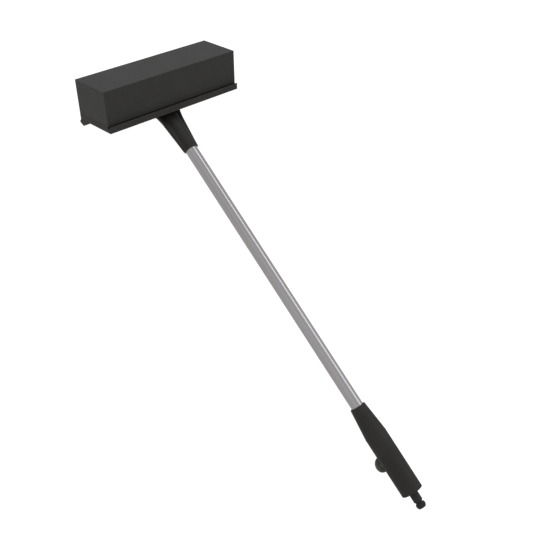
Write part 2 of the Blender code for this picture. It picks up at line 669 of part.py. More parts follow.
# --- tube ---
def tube_screw_outline(surface):
    """A small screw driven in along its own -Z, with its head on a surface that far out."""
    base = surface + GAP
    return screw(TUBE_SCREW_HEAD, base + TUBE_SCREW_HEAD_HEIGHT, base, SMALL_SHANK,
                 TUBE_RADIUS - TUBE_SCREW_BITE)


def make_tube(pole, aluminium, rubber, steel):
    inside = TUBE_RADIUS - TUBE_WALL
    outline = [(inside, TUBE_START), (TUBE_RADIUS, TUBE_START), (TUBE_RADIUS, TUBE_END),
               (inside, TUBE_END)]
    tube = turned("pole_tube", outline, aluminium, pole, ROUND_STEPS)
    neck_place = radial(NECK_LENGTH - TUBE_SCREW_STATION_IN_NECK)
    grip_place = radial(GRIP_START + GRIP_SCREW_FROM_START)
    hole = pin(SMALL_SHANK + THREAD_GAP, TUBE_RADIUS - OVERCUT, TUBE_RADIUS + OVERCUT)
    holes = turned("tube_holes", hole, None, pole, SCREW_STEPS, [neck_place, grip_place])
    carve(tube, "DIFFERENCE", [holes])
    turned("neck_tube_screw", tube_screw_outline(SOCKET_RADIUS), steel, pole, SCREW_STEPS,
           [neck_place])
    low = SOCKET_FLOOR + GAP
    high = low + WASHER_THICKNESS
    bore = inside - TUBE_WASHER_INSIDE
    washer = [(bore, low), (TUBE_RADIUS, low), (TUBE_RADIUS, high), (bore, high)]
    turned("tube_washer", washer, rubber, pole)


# --- grip ---
def grip_radius(station):
    """Outer radius of the grip, tapered from its front and then almost even."""
    along = station - GRIP_START
    if along <= GRIP_TAPER:
        return GRIP_FRONT_RADIUS + (GRIP_FULL_RADIUS - GRIP_FRONT_RADIUS) * along / GRIP_TAPER
    share = (along - GRIP_TAPER) / (GRIP_LENGTH - GRIP_TAPER)
    return GRIP_FULL_RADIUS + (GRIP_END_RADIUS - GRIP_FULL_RADIUS) * share


def grip_outline():
    shoulder = GRIP_START + GRIP_TAPER
    outer = [(GRIP_FRONT_RADIUS - GRIP_EDGE, GRIP_START)]
    for station in (GRIP_START + GRIP_EDGE, shoulder - GRIP_BLEND, shoulder + GRIP_BLEND,
                    GRIP_END - GRIP_EDGE):
        outer.append((grip_radius(station), station))
    outer.append((GRIP_END_RADIUS - GRIP_EDGE, GRIP_END))
    recess = GRIP_CAP_RADIUS + GAP
    floor = VALVE_STATION + NIPPLE_BASE_END
    cavity = TUBE_END + OVERCUT / 4
    inner = [(recess, GRIP_END), (recess, floor), (GRIP_CAVITY_RADIUS, floor),
             (GRIP_CAVITY_RADIUS, cavity), (SOCKET_BORE, cavity), (SOCKET_BORE, GRIP_START)]
    return outer + inner


def grip_screw_outline(station, tip):
    top = grip_radius(station) - GRIP_SCREW_DROP
    return screw(GRIP_SCREW_HEAD, top, top - GRIP_SCREW_HEAD_HEIGHT, SMALL_SHANK, tip)


def make_grip(pole, plastic, steel):
    grip = turned("grip", grip_outline(), plastic, pole, ROUND_STEPS)
    first = GRIP_START + GRIP_SCREW_FROM_START
    second = VALVE_STATION + GRIP_SCREW_FROM_VALVE
    holes = bmesh.new()
    for name, station, tip in (("grip_screw_front", first, TUBE_RADIUS - TUBE_SCREW_BITE),
                               ("grip_screw_rear", second,
                                GRIP_CAVITY_RADIUS - GRIP_SCREW_BITE)):
        turned(name, grip_screw_outline(station, tip), steel, pole, SCREW_STEPS,
               [radial(station)])
        floor = grip_radius(station) - GRIP_SCREW_DROP - GRIP_SCREW_HEAD_HEIGHT - GAP
        hole = screw(GRIP_SCREW_HEAD + HEAD_CLEARANCE, floor + 2 * OVERCUT, floor,
                     SMALL_SHANK + THREAD_GAP, tip - OVERCUT)
        spin_into(holes, hole, SCREW_STEPS, radial(station))
    gland = pin(GLAND_FLANGE_RADIUS + GLAND_CLEARANCE, GRIP_CAVITY_RADIUS - OVERCUT,
                GRIP_FULL_RADIUS + OVERCUT)
    spin_into(holes, gland, INNER_STEPS, radial(VALVE_STATION))
    carve(grip, "DIFFERENCE", [add_object("grip_holes", holes, None, pole)])
    low = VALVE_STATION + NIPPLE_BASE_END + GAP
    high = GRIP_END - CAP_RECESS
    hole = NIPPLE_BARREL_RADIUS + CAP_CLEARANCE
    cap = [(hole, low), (GRIP_CAP_RADIUS, low), (GRIP_CAP_RADIUS, high - CAP_EDGE),
           (GRIP_CAP_RADIUS - CAP_EDGE, high), (hole, high)]
    turned("grip_end_cap", cap, plastic, pole, ROUND_STEPS)


# --- valve ---
def from_valve(points):
    """Shift (radius, station) points measured from the valve's axis onto the pole frame."""
    return [(radius, VALVE_STATION + station) for radius, station in points]


def make_valve_body(pole, axis, plastic, rubber):
    tip = VALVE_BODY_FRONT - TUBE_TO_VALVE - SPIGOT_IN_TUBE
    groove = tip + TUBE_SEAL_START
    groove_end = groove + 2 * TUBE_SEAL_MINOR + 2 * GAP
    bottom = SPIGOT_RADIUS - TUBE_SEAL_DEPTH
    chamber = -SEAT_DEPTH - GAP
    outer = GRIP_CAVITY_RADIUS - GAP
    outline = [(WATER_BORE, tip), (SPIGOT_RADIUS - SPIGOT_EDGE, tip),
               (SPIGOT_RADIUS, tip + SPIGOT_EDGE), (SPIGOT_RADIUS, groove), (bottom, groove),
               (bottom, groove_end), (SPIGOT_RADIUS, groove_end), (SPIGOT_RADIUS, VALVE_BODY_FRONT),
               (outer, VALVE_BODY_FRONT), (outer, VALVE_BODY_REAR),
               (CHAMBER_RADIUS, VALVE_BODY_REAR), (CHAMBER_RADIUS, chamber),
               (WATER_BORE, chamber)]
    body = turned("valve_body", from_valve(outline), plastic, pole, ROUND_STEPS)
    hole = SPINDLE_RADIUS + GAP
    bore = [(0, -WATER_BORE), (hole, -WATER_BORE), (hole, -GLAND_FLOOR),
            (GLAND_BORE_RADIUS, -GLAND_FLOOR),
            (GLAND_BORE_RADIUS, -outer - OVERCUT), (0, -outer - OVERCUT)]
    side = turned("valve_side_bore", bore, None, axis)
    hole = pin(SMALL_SHANK + THREAD_GAP, GRIP_CAVITY_RADIUS - GRIP_SCREW_BITE - SHORT_BITE,
               outer + OVERCUT)
    screw_hole = turned("valve_screw_hole", hole, None, pole, SCREW_STEPS,
                        [radial(VALVE_STATION + GRIP_SCREW_FROM_VALVE)])
    carve(body, "DIFFERENCE", [side, screw_hole])
    minor = TUBE_SEAL_MINOR
    seal = ring_section(bottom + GAP + minor, minor, groove + GAP + minor)
    turned("tube_seal", from_valve(seal), rubber, pole)


def seat_outline(side):
    """A seat ring with a hollow that follows the ball, on the side given by its sign."""
    bed = BALL_RADIUS + GAP
    step = (SEAT_RIM - SEAT_HOLE) / SEAT_STEPS
    radii = [SEAT_HOLE + step * number for number in range(SEAT_STEPS + 1)]
    hollow = [(radius, side * math.sqrt(bed ** 2 - radius ** 2)) for radius in radii]
    outer = CHAMBER_RADIUS - GAP
    return hollow + [(outer, hollow[-1][1]), (outer, side * SEAT_DEPTH),
                     (SEAT_HOLE, side * SEAT_DEPTH)]


def make_ball(pole, axis, brass):
    turns = [math.pi * step / BALL_STEPS for step in range(BALL_STEPS + 1)]
    half_circle = [(BALL_RADIUS * math.sin(turn), -BALL_RADIUS * math.cos(turn))
                   for turn in turns]
    half_circle[0] = (0, -BALL_RADIUS)
    half_circle[-1] = (0, BALL_RADIUS)
    ball = turned("valve_ball", half_circle, brass, axis)
    reach = BALL_RADIUS + OVERCUT
    lying = Matrix.Rotation(math.radians(90), 4, "X")
    bore = turned("ball_bore", pin(BALL_BORE, -reach, reach), None, axis, INNER_STEPS, [lying])
    half = TONGUE_WIDTH / 2 + TONGUE_PLAY
    slot = slab("ball_slot", (-half, -reach, -reach), (half, reach, GAP - TONGUE_TOP), None, axis)
    carve(ball, "DIFFERENCE", [bore, slot])


def make_spindle(axis, brass, rubber, steel):
    end = KNOB_SCREW_RECESS + KNOB_WEB + GAP - AXIS_HEIGHT
    bore = SMALL_SHANK + THREAD_GAP
    outline = [(0, -SPINDLE_START), (SPINDLE_RADIUS, -SPINDLE_START), (SPINDLE_RADIUS, end),
               (bore, end), (bore, end + SPINDLE_BORE), (0, end + SPINDLE_BORE)]
    spindle = turned("valve_spindle", outline, brass, axis)
    half, length = TONGUE_WIDTH / 2, TONGUE_LENGTH / 2
    tongue = slab("spindle_tongue", (-half, -length, -SPINDLE_START - TONGUE_ROOT),
                  (half, length, -TONGUE_TOP), None, axis)
    carve(spindle, "UNION", [tongue])
    height = -GLAND_FLOOR - GAP - SPINDLE_SEAL_MINOR
    major = SPINDLE_RADIUS + GAP + SPINDLE_SEAL_MINOR
    turned("spindle_seal", ring_section(major, SPINDLE_SEAL_MINOR, height), rubber, axis)
    nut_start = height - SPINDLE_SEAL_MINOR - GAP
    flange = -GRIP_CAVITY_RADIUS
    nut_end = GLAND_RECESS - grip_radius(VALVE_STATION)
    thread, bore = GLAND_BORE_RADIUS - GAP, SPINDLE_RADIUS + GAP
    nut = [(bore, nut_start), (thread, nut_start), (thread, flange),
           (GLAND_FLANGE_RADIUS, flange), (GLAND_FLANGE_RADIUS, nut_end + GLAND_EDGE),
           (GLAND_FLANGE_RADIUS - GLAND_EDGE, nut_end), (bore, nut_end)]
    turned("gland_nut", nut, brass, axis)
    shape = screw(KNOB_SCREW_HEAD, KNOB_SCREW_DROP - AXIS_HEIGHT,
                  KNOB_SCREW_RECESS - GAP - AXIS_HEIGHT, SMALL_SHANK, end + KNOB_SCREW_BITE)
    turned("knob_screw", shape, steel, axis, SCREW_STEPS)


def make_knob(axis, plastic):
    face = -AXIS_HEIGHT
    back = face + KNOB_THICKNESS
    socket = SPINDLE_RADIUS + GAP
    floor = face + KNOB_SCREW_RECESS
    head = KNOB_SCREW_HEAD + HEAD_CLEARANCE
    hole = SMALL_SHANK + THREAD_GAP
    outline = [(head, face), (KNOB_RADIUS - KNOB_EDGE, face), (KNOB_RADIUS, face + KNOB_EDGE),
               (KNOB_RADIUS, back - KNOB_EDGE), (KNOB_RADIUS - KNOB_EDGE, back),
               (KNOB_HUB_RADIUS, back), (KNOB_HUB_RADIUS, back + KNOB_HUB_LENGTH),
               (socket, back + KNOB_HUB_LENGTH), (socket, floor + KNOB_WEB),
               (hole, floor + KNOB_WEB), (hole, floor), (head, floor)]
    turned("valve_knob", outline, plastic, axis, ROUND_STEPS)


def make_retainer(pole, plastic, rubber):
    radius = CHAMBER_RADIUS - GAP
    start = SEAT_DEPTH + GAP
    flange = VALVE_BODY_REAR + GAP
    minor = RETAINER_SEAL_MINOR
    bottom = radius - GAP - 2 * minor - RETAINER_SEAL_PLAY
    low = RETAINER_SEAL_STATION - minor - GAP
    high = RETAINER_SEAL_STATION + minor + GAP
    socket = NIPPLE_SPIGOT_RADIUS + GAP
    socket_floor = NIPPLE_BASE - NIPPLE_SPIGOT_LENGTH - GAP
    outline = [(WATER_BORE, start), (radius, start), (radius, low), (bottom, low),
               (bottom, high), (radius, high), (radius, flange), (RETAINER_FLANGE_RADIUS, flange),
               (RETAINER_FLANGE_RADIUS, RETAINER_END), (socket, RETAINER_END),
               (socket, socket_floor), (WATER_BORE, socket_floor)]
    turned("valve_retainer", from_valve(outline), plastic, pole)
    seal = ring_section(bottom + GAP + minor, minor, RETAINER_SEAL_STATION)
    turned("retainer_seal", from_valve(seal), rubber, pole)


# --- hose connection ---
def make_nipple(pole, plastic, rubber):
    to_end = VALVE_FROM_GRIP_END
    minor = NIPPLE_SEAL_MINOR
    low = to_end + NIPPLE_SEAL_STATION - minor - GAP
    high = to_end + NIPPLE_SEAL_STATION + minor + GAP
    bottom = NIPPLE_HEAD_RADIUS - NIPPLE_SEAL_DEPTH
    neck, barrel, head = NIPPLE_NECK_RADIUS, NIPPLE_BARREL_RADIUS, NIPPLE_HEAD_RADIUS
    outline = [(WATER_BORE, NIPPLE_BASE - NIPPLE_SPIGOT_LENGTH),
               (NIPPLE_SPIGOT_RADIUS, NIPPLE_BASE - NIPPLE_SPIGOT_LENGTH),
               (NIPPLE_SPIGOT_RADIUS, NIPPLE_BASE), (NIPPLE_FLANGE_RADIUS, NIPPLE_BASE),
               (NIPPLE_FLANGE_RADIUS, NIPPLE_BASE_END), (barrel, NIPPLE_BASE_END),
               (barrel, to_end + NIPPLE_BARREL_END), (neck, to_end + NIPPLE_NECK_START),
               (neck, to_end + NIPPLE_NECK_END), (head - NIPPLE_EDGE, to_end + NIPPLE_HEAD_START),
               (head, low), (bottom, low), (bottom, high), (head, high),
               (head - NIPPLE_EDGE, high + NIPPLE_LIP), (NIPPLE_TIP_RADIUS, to_end + NIPPLE_TIP),
               (NIPPLE_BORE, to_end + NIPPLE_TIP), (NIPPLE_BORE, NIPPLE_BASE),
               (WATER_BORE, NIPPLE_BASE - NIPPLE_LIP)]
    turned("hose_nipple", from_valve(outline), plastic, pole, ROUND_STEPS)
    seal = ring_section(bottom + GAP + minor, minor, to_end + NIPPLE_SEAL_STATION)
    turned("nipple_seal", from_valve(seal), rubber, pole)
    inside = NIPPLE_SPIGOT_RADIUS + NIPPLE_WASHER_INSET
    outside = NIPPLE_FLANGE_RADIUS - NIPPLE_WASHER_INSET
    start = NIPPLE_WASHER_START
    end = start + WASHER_THICKNESS
    washer = [(inside, start), (outside, start), (outside, end), (inside, end)]
    turned("nipple_washer", from_valve(washer), rubber, pole)


def main():
    clear_scene()
    black = make_material("black_plastic", (0.028, 0.027, 0.025), 0.42)
    foam = make_material("black_foam", (0.050, 0.049, 0.047), 0.95)
    grey = make_material("grey_plastic", (0.30, 0.30, 0.30), 0.5)
    rubber = make_material("black_rubber", (0.020, 0.020, 0.020), 0.8)
    white = make_material("white_seat_plastic", (0.80, 0.80, 0.78), 0.4)
    aluminium = make_material("satin_aluminium", (0.62, 0.61, 0.62), 0.35, 1.0)
    brass = make_material("brass", (0.66, 0.50, 0.24), 0.3, 1.0)
    steel = make_material("screw_steel", (0.55, 0.55, 0.56), 0.3, 1.0)

    origin = (0, HEAD_Y, AXIS_HEIGHT)
    frame = add_empty("head_frame", origin, (-HEAD_LEAN, 0, 0))
    pole = add_empty("pole_frame", origin, (math.radians(90), 0, 0))
    rail_frame = add_empty("rail_frame", origin, (0, 0, 0))
    axis = add_empty("valve_axis", (0, HEAD_Y - VALVE_STATION, AXIS_HEIGHT), (0, 0, 0))

    make_block(frame, foam, grey, steel)
    make_plate(frame, pole, black)
    make_channel_cover(frame, grey, rubber, steel)
    make_rail(rail_frame, frame, black, rubber, steel)
    make_neck(frame, pole, black, rubber, steel)
    make_tube(pole, aluminium, rubber, steel)
    make_grip(pole, black, steel)
    make_valve_body(pole, axis, grey, rubber)
    turned("valve_seat_front", from_valve(seat_outline(-1)), white, pole)
    turned("valve_seat_rear", from_valve(seat_outline(1)), white, pole)
    make_ball(pole, axis, brass)
    make_spindle(axis, brass, rubber, steel)
    make_knob(axis, black)
    make_retainer(pole, grey, rubber)
    make_nipple(pole, black, rubber)


main()
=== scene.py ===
"""Looks of a water-fed window washing head on a tube handle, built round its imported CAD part.

Every piece takes its place and its main sizes from the frame. The head's pieces are drawn
in HEAD, whose Z is the head's normal and whose origin is where the tube's axis meets the
plate's underside. The pole's pieces are drawn in POLE, which starts at the same point with
its Z along the tube, away from the head, and its Y up. The valve's turning pieces are drawn
in VALVE, on the joint's axis. All sizes are in metres.
"""

import json
from math import atan2, ceil, cos, pi, radians, sin, sqrt, tan

import bmesh
import bpy
from bpy.props import FloatProperty, FloatVectorProperty, PointerProperty
from bpy.types import Operator, Panel, PropertyGroup
from mathutils import Matrix, Vector, noise

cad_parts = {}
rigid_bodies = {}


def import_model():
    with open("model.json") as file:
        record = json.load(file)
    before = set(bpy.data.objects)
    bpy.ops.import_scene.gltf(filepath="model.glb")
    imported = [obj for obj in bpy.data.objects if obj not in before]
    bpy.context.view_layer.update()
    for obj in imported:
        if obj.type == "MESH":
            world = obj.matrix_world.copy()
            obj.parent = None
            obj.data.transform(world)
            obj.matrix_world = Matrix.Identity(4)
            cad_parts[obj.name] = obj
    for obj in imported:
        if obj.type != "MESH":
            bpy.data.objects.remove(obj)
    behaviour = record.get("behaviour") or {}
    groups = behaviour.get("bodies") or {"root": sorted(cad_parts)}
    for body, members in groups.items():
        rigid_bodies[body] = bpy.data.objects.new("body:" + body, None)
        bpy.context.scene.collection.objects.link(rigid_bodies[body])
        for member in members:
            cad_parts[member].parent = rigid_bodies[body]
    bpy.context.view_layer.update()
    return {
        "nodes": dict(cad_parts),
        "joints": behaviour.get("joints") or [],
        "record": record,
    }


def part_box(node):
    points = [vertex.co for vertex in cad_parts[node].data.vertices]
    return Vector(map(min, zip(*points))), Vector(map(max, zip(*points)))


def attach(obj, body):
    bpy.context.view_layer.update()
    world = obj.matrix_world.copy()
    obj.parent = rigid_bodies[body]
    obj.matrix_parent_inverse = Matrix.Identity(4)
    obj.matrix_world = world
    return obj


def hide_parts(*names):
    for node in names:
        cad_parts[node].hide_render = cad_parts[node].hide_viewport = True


bl_info = {
    "name": "Window Washing Head",
    "version": (1, 0, 0),
    "blender": (4, 5, 0),
    "location": "View3D > Sidebar > Washer",
    "description": "Detailed pieces and finishes for a water-fed window washing head",
    "category": "Object",
}

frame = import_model()
cad_nodes = frame["nodes"]

STILL_BODY = "washer"
TURNING_BODY = "valve_rotor"
GAP = 0.0003  # between pieces that touch
OVERCUT = 0.004  # how far a cutter runs past the faces that it opens
WELD = 0.000001
SHARP_ANGLE = radians(34)
FILLET_STEPS = 5
CORNER_SHARE = 0.48  # the most of a side that a fillet takes
ROUND_STEPS = 128  # segments round the large turned pieces
SMALL_STEPS = 64  # segments round the small turned pieces
HOLE_STEPS = 32  # segments round the screw holes
RAIL_HOLE_STEPS = 24
TUBE_PITCH = 0.012  # distance between points on straight runs
GRIP_PITCH = 0.005
NIPPLE_PITCH = 0.004
FOOT_PITCH = 0.006
TONGUE_PITCH = 0.002
POINTER_PITCH = 0.001


# --- places and sizes that the frame gives ---
def points_of(node):
    return [vertex.co for vertex in cad_nodes[node].data.vertices]


def corners_in(node, place):
    """A node's lowest and highest corners, measured along the axes of a place."""
    back = place.inverted()
    points = [back @ point for point in points_of(node)]
    low = Vector([min(point[axis] for point in points) for axis in range(3)])
    high = Vector([max(point[axis] for point in points) for axis in range(3)])
    return low, high


def head_place():
    """The head's own axes, on the tube's axis at the plate's underside."""
    mounts = {mount["name"]: mount for mount in frame["record"]["mounts"]}
    normal = Vector(mounts["block_face"]["axis"])
    underside = min(normal.dot(point) for point in points_of("head_plate"))
    low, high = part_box("pole_tube")
    axis_height = (low.z + high.z) / 2
    along = (underside - normal.z * axis_height) / normal.y
    lean = atan2(normal.y, normal.z)
    origin = Matrix.Translation((0, along, axis_height))
    return origin, lean


ORIGIN, HEAD_LEAN = head_place()
HEAD = ORIGIN @ Matrix.Rotation(-HEAD_LEAN, 4, "X")
POLE = ORIGIN @ Matrix.Rotation(radians(90), 4, "X")
VALVE = Matrix.Translation(frame["joints"][0]["pos_m"])
LEAN_SIN, LEAN_COS = sin(HEAD_LEAN), cos(HEAD_LEAN)


def at(x, y, z=0.0):
    return Matrix.Translation((x, y, z))


def radial(station):
    """A place on the pole whose +Z points down, away from the tube's axis."""
    return POLE @ at(0, 0, station) @ Matrix.Rotation(radians(90), 4, "X")


# --- small sizes that the frame's boxes don't give ---
CRISP = 0.0001  # radii of small edges, from the sharpest to the softest
BROKEN = 0.0002
EASED = 0.0003
SOFT = 0.0004
ROUNDED = 0.0005
SKIN = 0.00001  # how far the plate's new outline stands off the CAD plate
BEAD_FOOT = 0.0007  # radii of the blade's bead
BEAD_TOP = 0.0009
FOAM_WAVES = 45.0  # how fine the cut faces' waves and rags are, per metre
FOAM_RAGS = 420.0
PASSAGE_RADIUS = 0.0045
PASSAGE_TOP = -0.020  # where the water passage's cutter starts, past the foot
SEAL_GROOVE_SHARE = 0.72  # half the groove's width, of the seal's thickness
RAIL_HOLE_SHARE = 0.3  # hole's radius, of the rail screw's width
SIDE_SCREW_INNER = 0.010  # reach of a side screw's hole, from the tube's axis
SIDE_SCREW_OUTER = 0.020
NECK_SCREW_HOLE = 0.0018  # holes' and shanks' radii
SIDE_SCREW_HOLE = 0.0015
KNOB_SCREW_HOLE = 0.0015
LARGE_SHANK = 0.0015
SMALL_SHANK = 0.0012
BLOCK_SCREW_HEAD = 0.0021  # heads' heights
NECK_SCREW_HEAD = 0.0020
GRIP_SCREW_HEAD = 0.0016
SMALL_SCREW_HEAD = 0.0012
SHANK_TIP = 0.0005  # chamfer at a screw's tip
RECESS_REACH = 0.58  # cross recess, as shares of the head's radius and height
RECESS_HALF = 0.11
RECESS_DEPTH = 0.6
WELL_CLEARANCE = 0.0004  # round the gland nut, in the grip
CAP_CLEARANCE = 0.0004  # round the nipple's barrel, in the cap
CAP_RING_HALF = 0.0030  # ring sunk into the cap's face
CAP_RING_FLOOR = 0.0026
CAP_RING_DEPTH = 0.0005
NIPPLE_SPIGOT = 0.0132  # length
NIPPLE_SPIGOT_RADIUS = 0.0063  # radii
NIPPLE_INNER_BORE = 0.0040
NIPPLE_BORE = 0.0052
NIPPLE_BARREL = 0.0087
NIPPLE_NECK = 0.0066
NIPPLE_HEAD = 0.0092
NIPPLE_TIP = 0.0076
NIPPLE_HEAD_EASE = 0.0003  # how far the head's two ends draw in
NIPPLE_SEAL_DEPTH = 0.0016
NIPPLE_BARREL_END = 0.0200  # stations past the grip's end
NIPPLE_NECK_START = 0.0215
NIPPLE_NECK_END = 0.0233
NIPPLE_HEAD_START = 0.0249
NIPPLE_NOSE = 0.0020  # length of the head past its seal
NIPPLE_NOSE_ROUND = 0.0008
NIPPLE_FUNNEL = 0.0020
SEAL_STEPS = 20  # points round the seal ring's section
KNOB_THICKNESS = 0.0040
KNOB_HUB = 0.0055
KNOB_HUB_ROUND = 0.0009
KNOB_WEB = 0.0005
KNOB_LAND = 0.0024  # flat face inside and outside the knob's sunk ring
KNOB_RING_SLOPE = 0.0004
POINTER_HALF = 0.0009
POINTER_INSET = 0.0012  # from the sunk ring's two edges
POINTER_DROP = 0.00008  # pointer's top below the knob's face
POINTER_ROOT = 0.0004
SPINDLE_SHOULDER = -0.0086
SPINDLE_HOLE_DEPTH = 0.0064
TONGUE_HALF = 0.0015
TONGUE_REACH = 0.0028
TONGUE_ROOT = 0.001
GLAND_THREAD_WALL = 0.0029
GLAND_FLANGE = 0.0037
GLAND_EDGE = 0.0006
BLOCK_SCREWS = [f"block_screw_{number}" for number in range(1, 5)]
NECK_SCREWS = [f"neck_screw_{number}" for number in range(1, 5)]
RAIL_SCREWS = [f"rail_screw_{number}" for number in range(1, 6)]

# --- shape of the neck ---
WING_SLOPE = 0.1075  # how fast the wings widen towards the head
WING_FLARE = 6.0  # extra half-width per metre squared near the head
WING_FLARE_START = 0.045
WING_FLARE_END = 0.012
WING_CORNER = 7.0  # how square the wings' section is
CREASE = 15.0  # how tight the blend is between wing and socket
STEP_BEFORE_FLOOR = 0.0056  # where the throat widens, before the socket's floor
STEP_LENGTH = 0.0016
FILLET_SPREAD = 0.6  # share of the foot's fillet that widens the neck
FOOT_SINK = 0.0006  # how far the neck goes into its foot
FIRST_STATION = 0.010  # where the search for the foot starts
NECK_SEGMENTS = 144
NECK_CROWD = 0.36  # how closely the points crowd round the wing tips
THROAT_RINGS = 22
THROAT_CROWD = 1.3  # how closely its rings crowd near the foot
STEP_RINGS = 8
SOCKET_RINGS = 24

# --- camera and light ---
CAMERA = (-0.83200, -0.10280, 1.22155)
VIEW = (0.57735, 0.07116, -0.81339)
UPWARD = (0.40825, 0.83757, 0.36306)
LENS = 50.0
VIEW_END = 100.0
FLOOR_REACH = 14.0
FLOOR_LEVEL = -0.0002  # just under the lowest points
KEY_FROM = (-0.15, 0.50, 0.85)
KEY_SPREAD = radians(60)
KEY_COLOUR = (0.87, 0.955, 1.0)
SKY_COLOUR = (1.0, 0.96, 0.90)
FLOOR_GLOW = (1.0, 0.99, 0.975)
STRIP_DISTANCE = 1.6
STRIP_LENGTH = 4.0
STRIPS = (  # name, direction from the tube, width, share of the power
    ("bright_strip", (0.50, 0.07, 0.86), 0.50, 1.0),
    ("faint_strip", (-0.70, 0.07, 0.72), 0.22, 0.09),
)


def middle_of(node, place):
    """A place with its Z unmoved, through the middle of a node."""
    low, high = corners_in(node, place)
    return place @ at((low.x + high.x) / 2, (low.y + high.y) / 2)


def station_of(node):
    """How far along the tube a node's middle is."""
    low, high = corners_in(node, POLE)
    return (low.z + high.z) / 2


def side_screws():
    return [(node, radial(station_of(node))) for node in ("grip_screw_front", "grip_screw_rear")]


# --- outlines ---
def filleted(corners, closed=True):
    """Round the corners of an outline; each corner is (first, second, fillet radius)."""
    outline = []
    count = len(corners)
    for index, (first, second, radius) in enumerate(corners):
        here = Vector((first, second))
        if radius == 0 or (not closed and index in (0, count - 1)):
            outline.append(tuple(here))
            continue
        before = Vector(corners[index - 1][:2]) - here
        after = Vector(corners[(index + 1) % count][:2]) - here
        half = before.angle(after) / 2
        reach = min(radius / tan(half), before.length * CORNER_SHARE, after.length * CORNER_SHARE)
        centre = here + (before.normalized() + after.normalized()).normalized() * reach / cos(half)
        start = here + before.normalized() * reach - centre
        end = here + after.normalized() * reach - centre
        angle = atan2(start.y, start.x)
        sweep = (atan2(end.y, end.x) - angle + pi) % (2 * pi) - pi
        for step in range(FILLET_STEPS + 1):
            turn = angle + sweep * step / FILLET_STEPS
            outline.append((centre.x + start.length * cos(turn),
                            centre.y + start.length * sin(turn)))
    return outline


def spaced(outline, pitch):
    """Add points to an outline so that no straight run is longer than the pitch."""
    points = []
    for start, end in zip(outline, outline[1:] + outline[:1]):
        start, end = Vector(start), Vector(end)
        count = max(ceil((end - start).length / pitch), 1)
        points += [tuple(start.lerp(end, step / count)) for step in range(count)]
    return points


def pin(radius, low, high):
    """A plain round bar on the axis, as (radius, height) points."""
    return [(0, low), (radius, low), (radius, high), (0, high)]


# --- meshes ---
def spin_into(bm, outline, steps, place=None):
    """Turn (radius, height) points about Z; an outline off the axis closes on itself."""
    before = len(bm.verts)
    verts = [bm.verts.new((radius, 0, height)) for radius, height in outline]
    edges = [bm.edges.new(pair) for pair in zip(verts, verts[1:])]
    if outline[0][0] > 0:
        edges.append(bm.edges.new((verts[-1], verts[0])))
    bmesh.ops.spin(bm, geom=verts + edges, cent=(0, 0, 0), axis=(0, 0, 1),
                   angle=2 * pi, steps=steps)
    if place:
        bm.verts.ensure_lookup_table()
        bmesh.ops.transform(bm, matrix=place, verts=bm.verts[before:])


def box_into(bm, low, high, place=None):
    centre = (Vector(low) + Vector(high)) / 2
    size = Vector(high) - Vector(low)
    matrix = Matrix.Translation(centre) @ Matrix.Diagonal((*size, 1))
    bmesh.ops.create_cube(bm, size=1, matrix=place @ matrix if place else matrix)


def bar_into(bm, section, start, end, edge=0.0):
    """Push a (y, z) section along X, and round its two ends' edges."""
    face = bm.faces.new([bm.verts.new((start, y, z)) for y, z in section])
    made = bmesh.ops.extrude_face_region(bm, geom=[face])["geom"]
    far = [item for item in made if isinstance(item, bmesh.types.BMVert)]
    bmesh.ops.translate(bm, vec=(end - start, 0, 0), verts=far)
    if edge:
        rims = [item for item in bm.edges if item.verts[0].co.x == item.verts[1].co.x]
        bmesh.ops.bevel(bm, geom=rims, offset=edge, segments=3, profile=0.5, affect="EDGES")


def loft_into(bm, rings):
    """Join rings of points, all of the same count, and close both ends."""
    loops = [[bm.verts.new(point) for point in ring] for ring in rings]
    for near, far in zip(loops, loops[1:]):
        for index in range(len(near)):
            following = (index + 1) % len(near)
            bm.faces.new((near[index], near[following], far[following], far[index]))
    bm.faces.new(loops[0])
    bm.faces.new(loops[-1])


def side_lines(low, high, edge, pitch):
    """Grid lines along one side: close together at both edges, even between them."""
    near = [edge * step / FILLET_STEPS for step in range(FILLET_STEPS + 1)]
    span = high - low - 2 * edge
    count = max(round(span / pitch), 1)
    between = [low + edge + span * step / count for step in range(1, count)]
    return [low + gap for gap in near] + between + [high - gap for gap in reversed(near)]


def soft_box_into(bm, low, high, edge, pitch):
    """A box of small faces with all its edges rounded."""
    lines = [side_lines(low[axis], high[axis], edge, pitch) for axis in range(3)]
    last = [len(line) - 1 for line in lines]
    made = {}

    def corner(key):
        if key not in made:
            point = Vector([lines[axis][key[axis]] for axis in range(3)])
            core = Vector([min(max(point[axis], low[axis] + edge), high[axis] - edge)
                           for axis in range(3)])
            made[key] = bm.verts.new(core + (point - core).normalized() * edge)
        return made[key]

    for axis in range(3):
        first, second = (axis + 1) % 3, (axis + 2) % 3
        for side in (0, last[axis]):
            for i in range(last[first]):
                for j in range(last[second]):
                    keys = []
                    for di, dj in ((0, 0), (1, 0), (1, 1), (0, 1)):
                        key = [0, 0, 0]
                        key[axis], key[first], key[second] = side, i + di, j + dj
                        keys.append(tuple(key))
                    bm.faces.new([corner(key) for key in keys])


def closed_mesh(name, bm, place):
    """Weld a bmesh, move it to its place, turn its faces outward and keep it as a mesh."""
    bmesh.ops.remove_doubles(bm, verts=bm.verts, dist=WELD)
    bmesh.ops.recalc_face_normals(bm, faces=bm.faces)
    bm.transform(place)
    mesh = bpy.data.meshes.new(name)
    bm.to_mesh(mesh)
    bm.free()
    return mesh


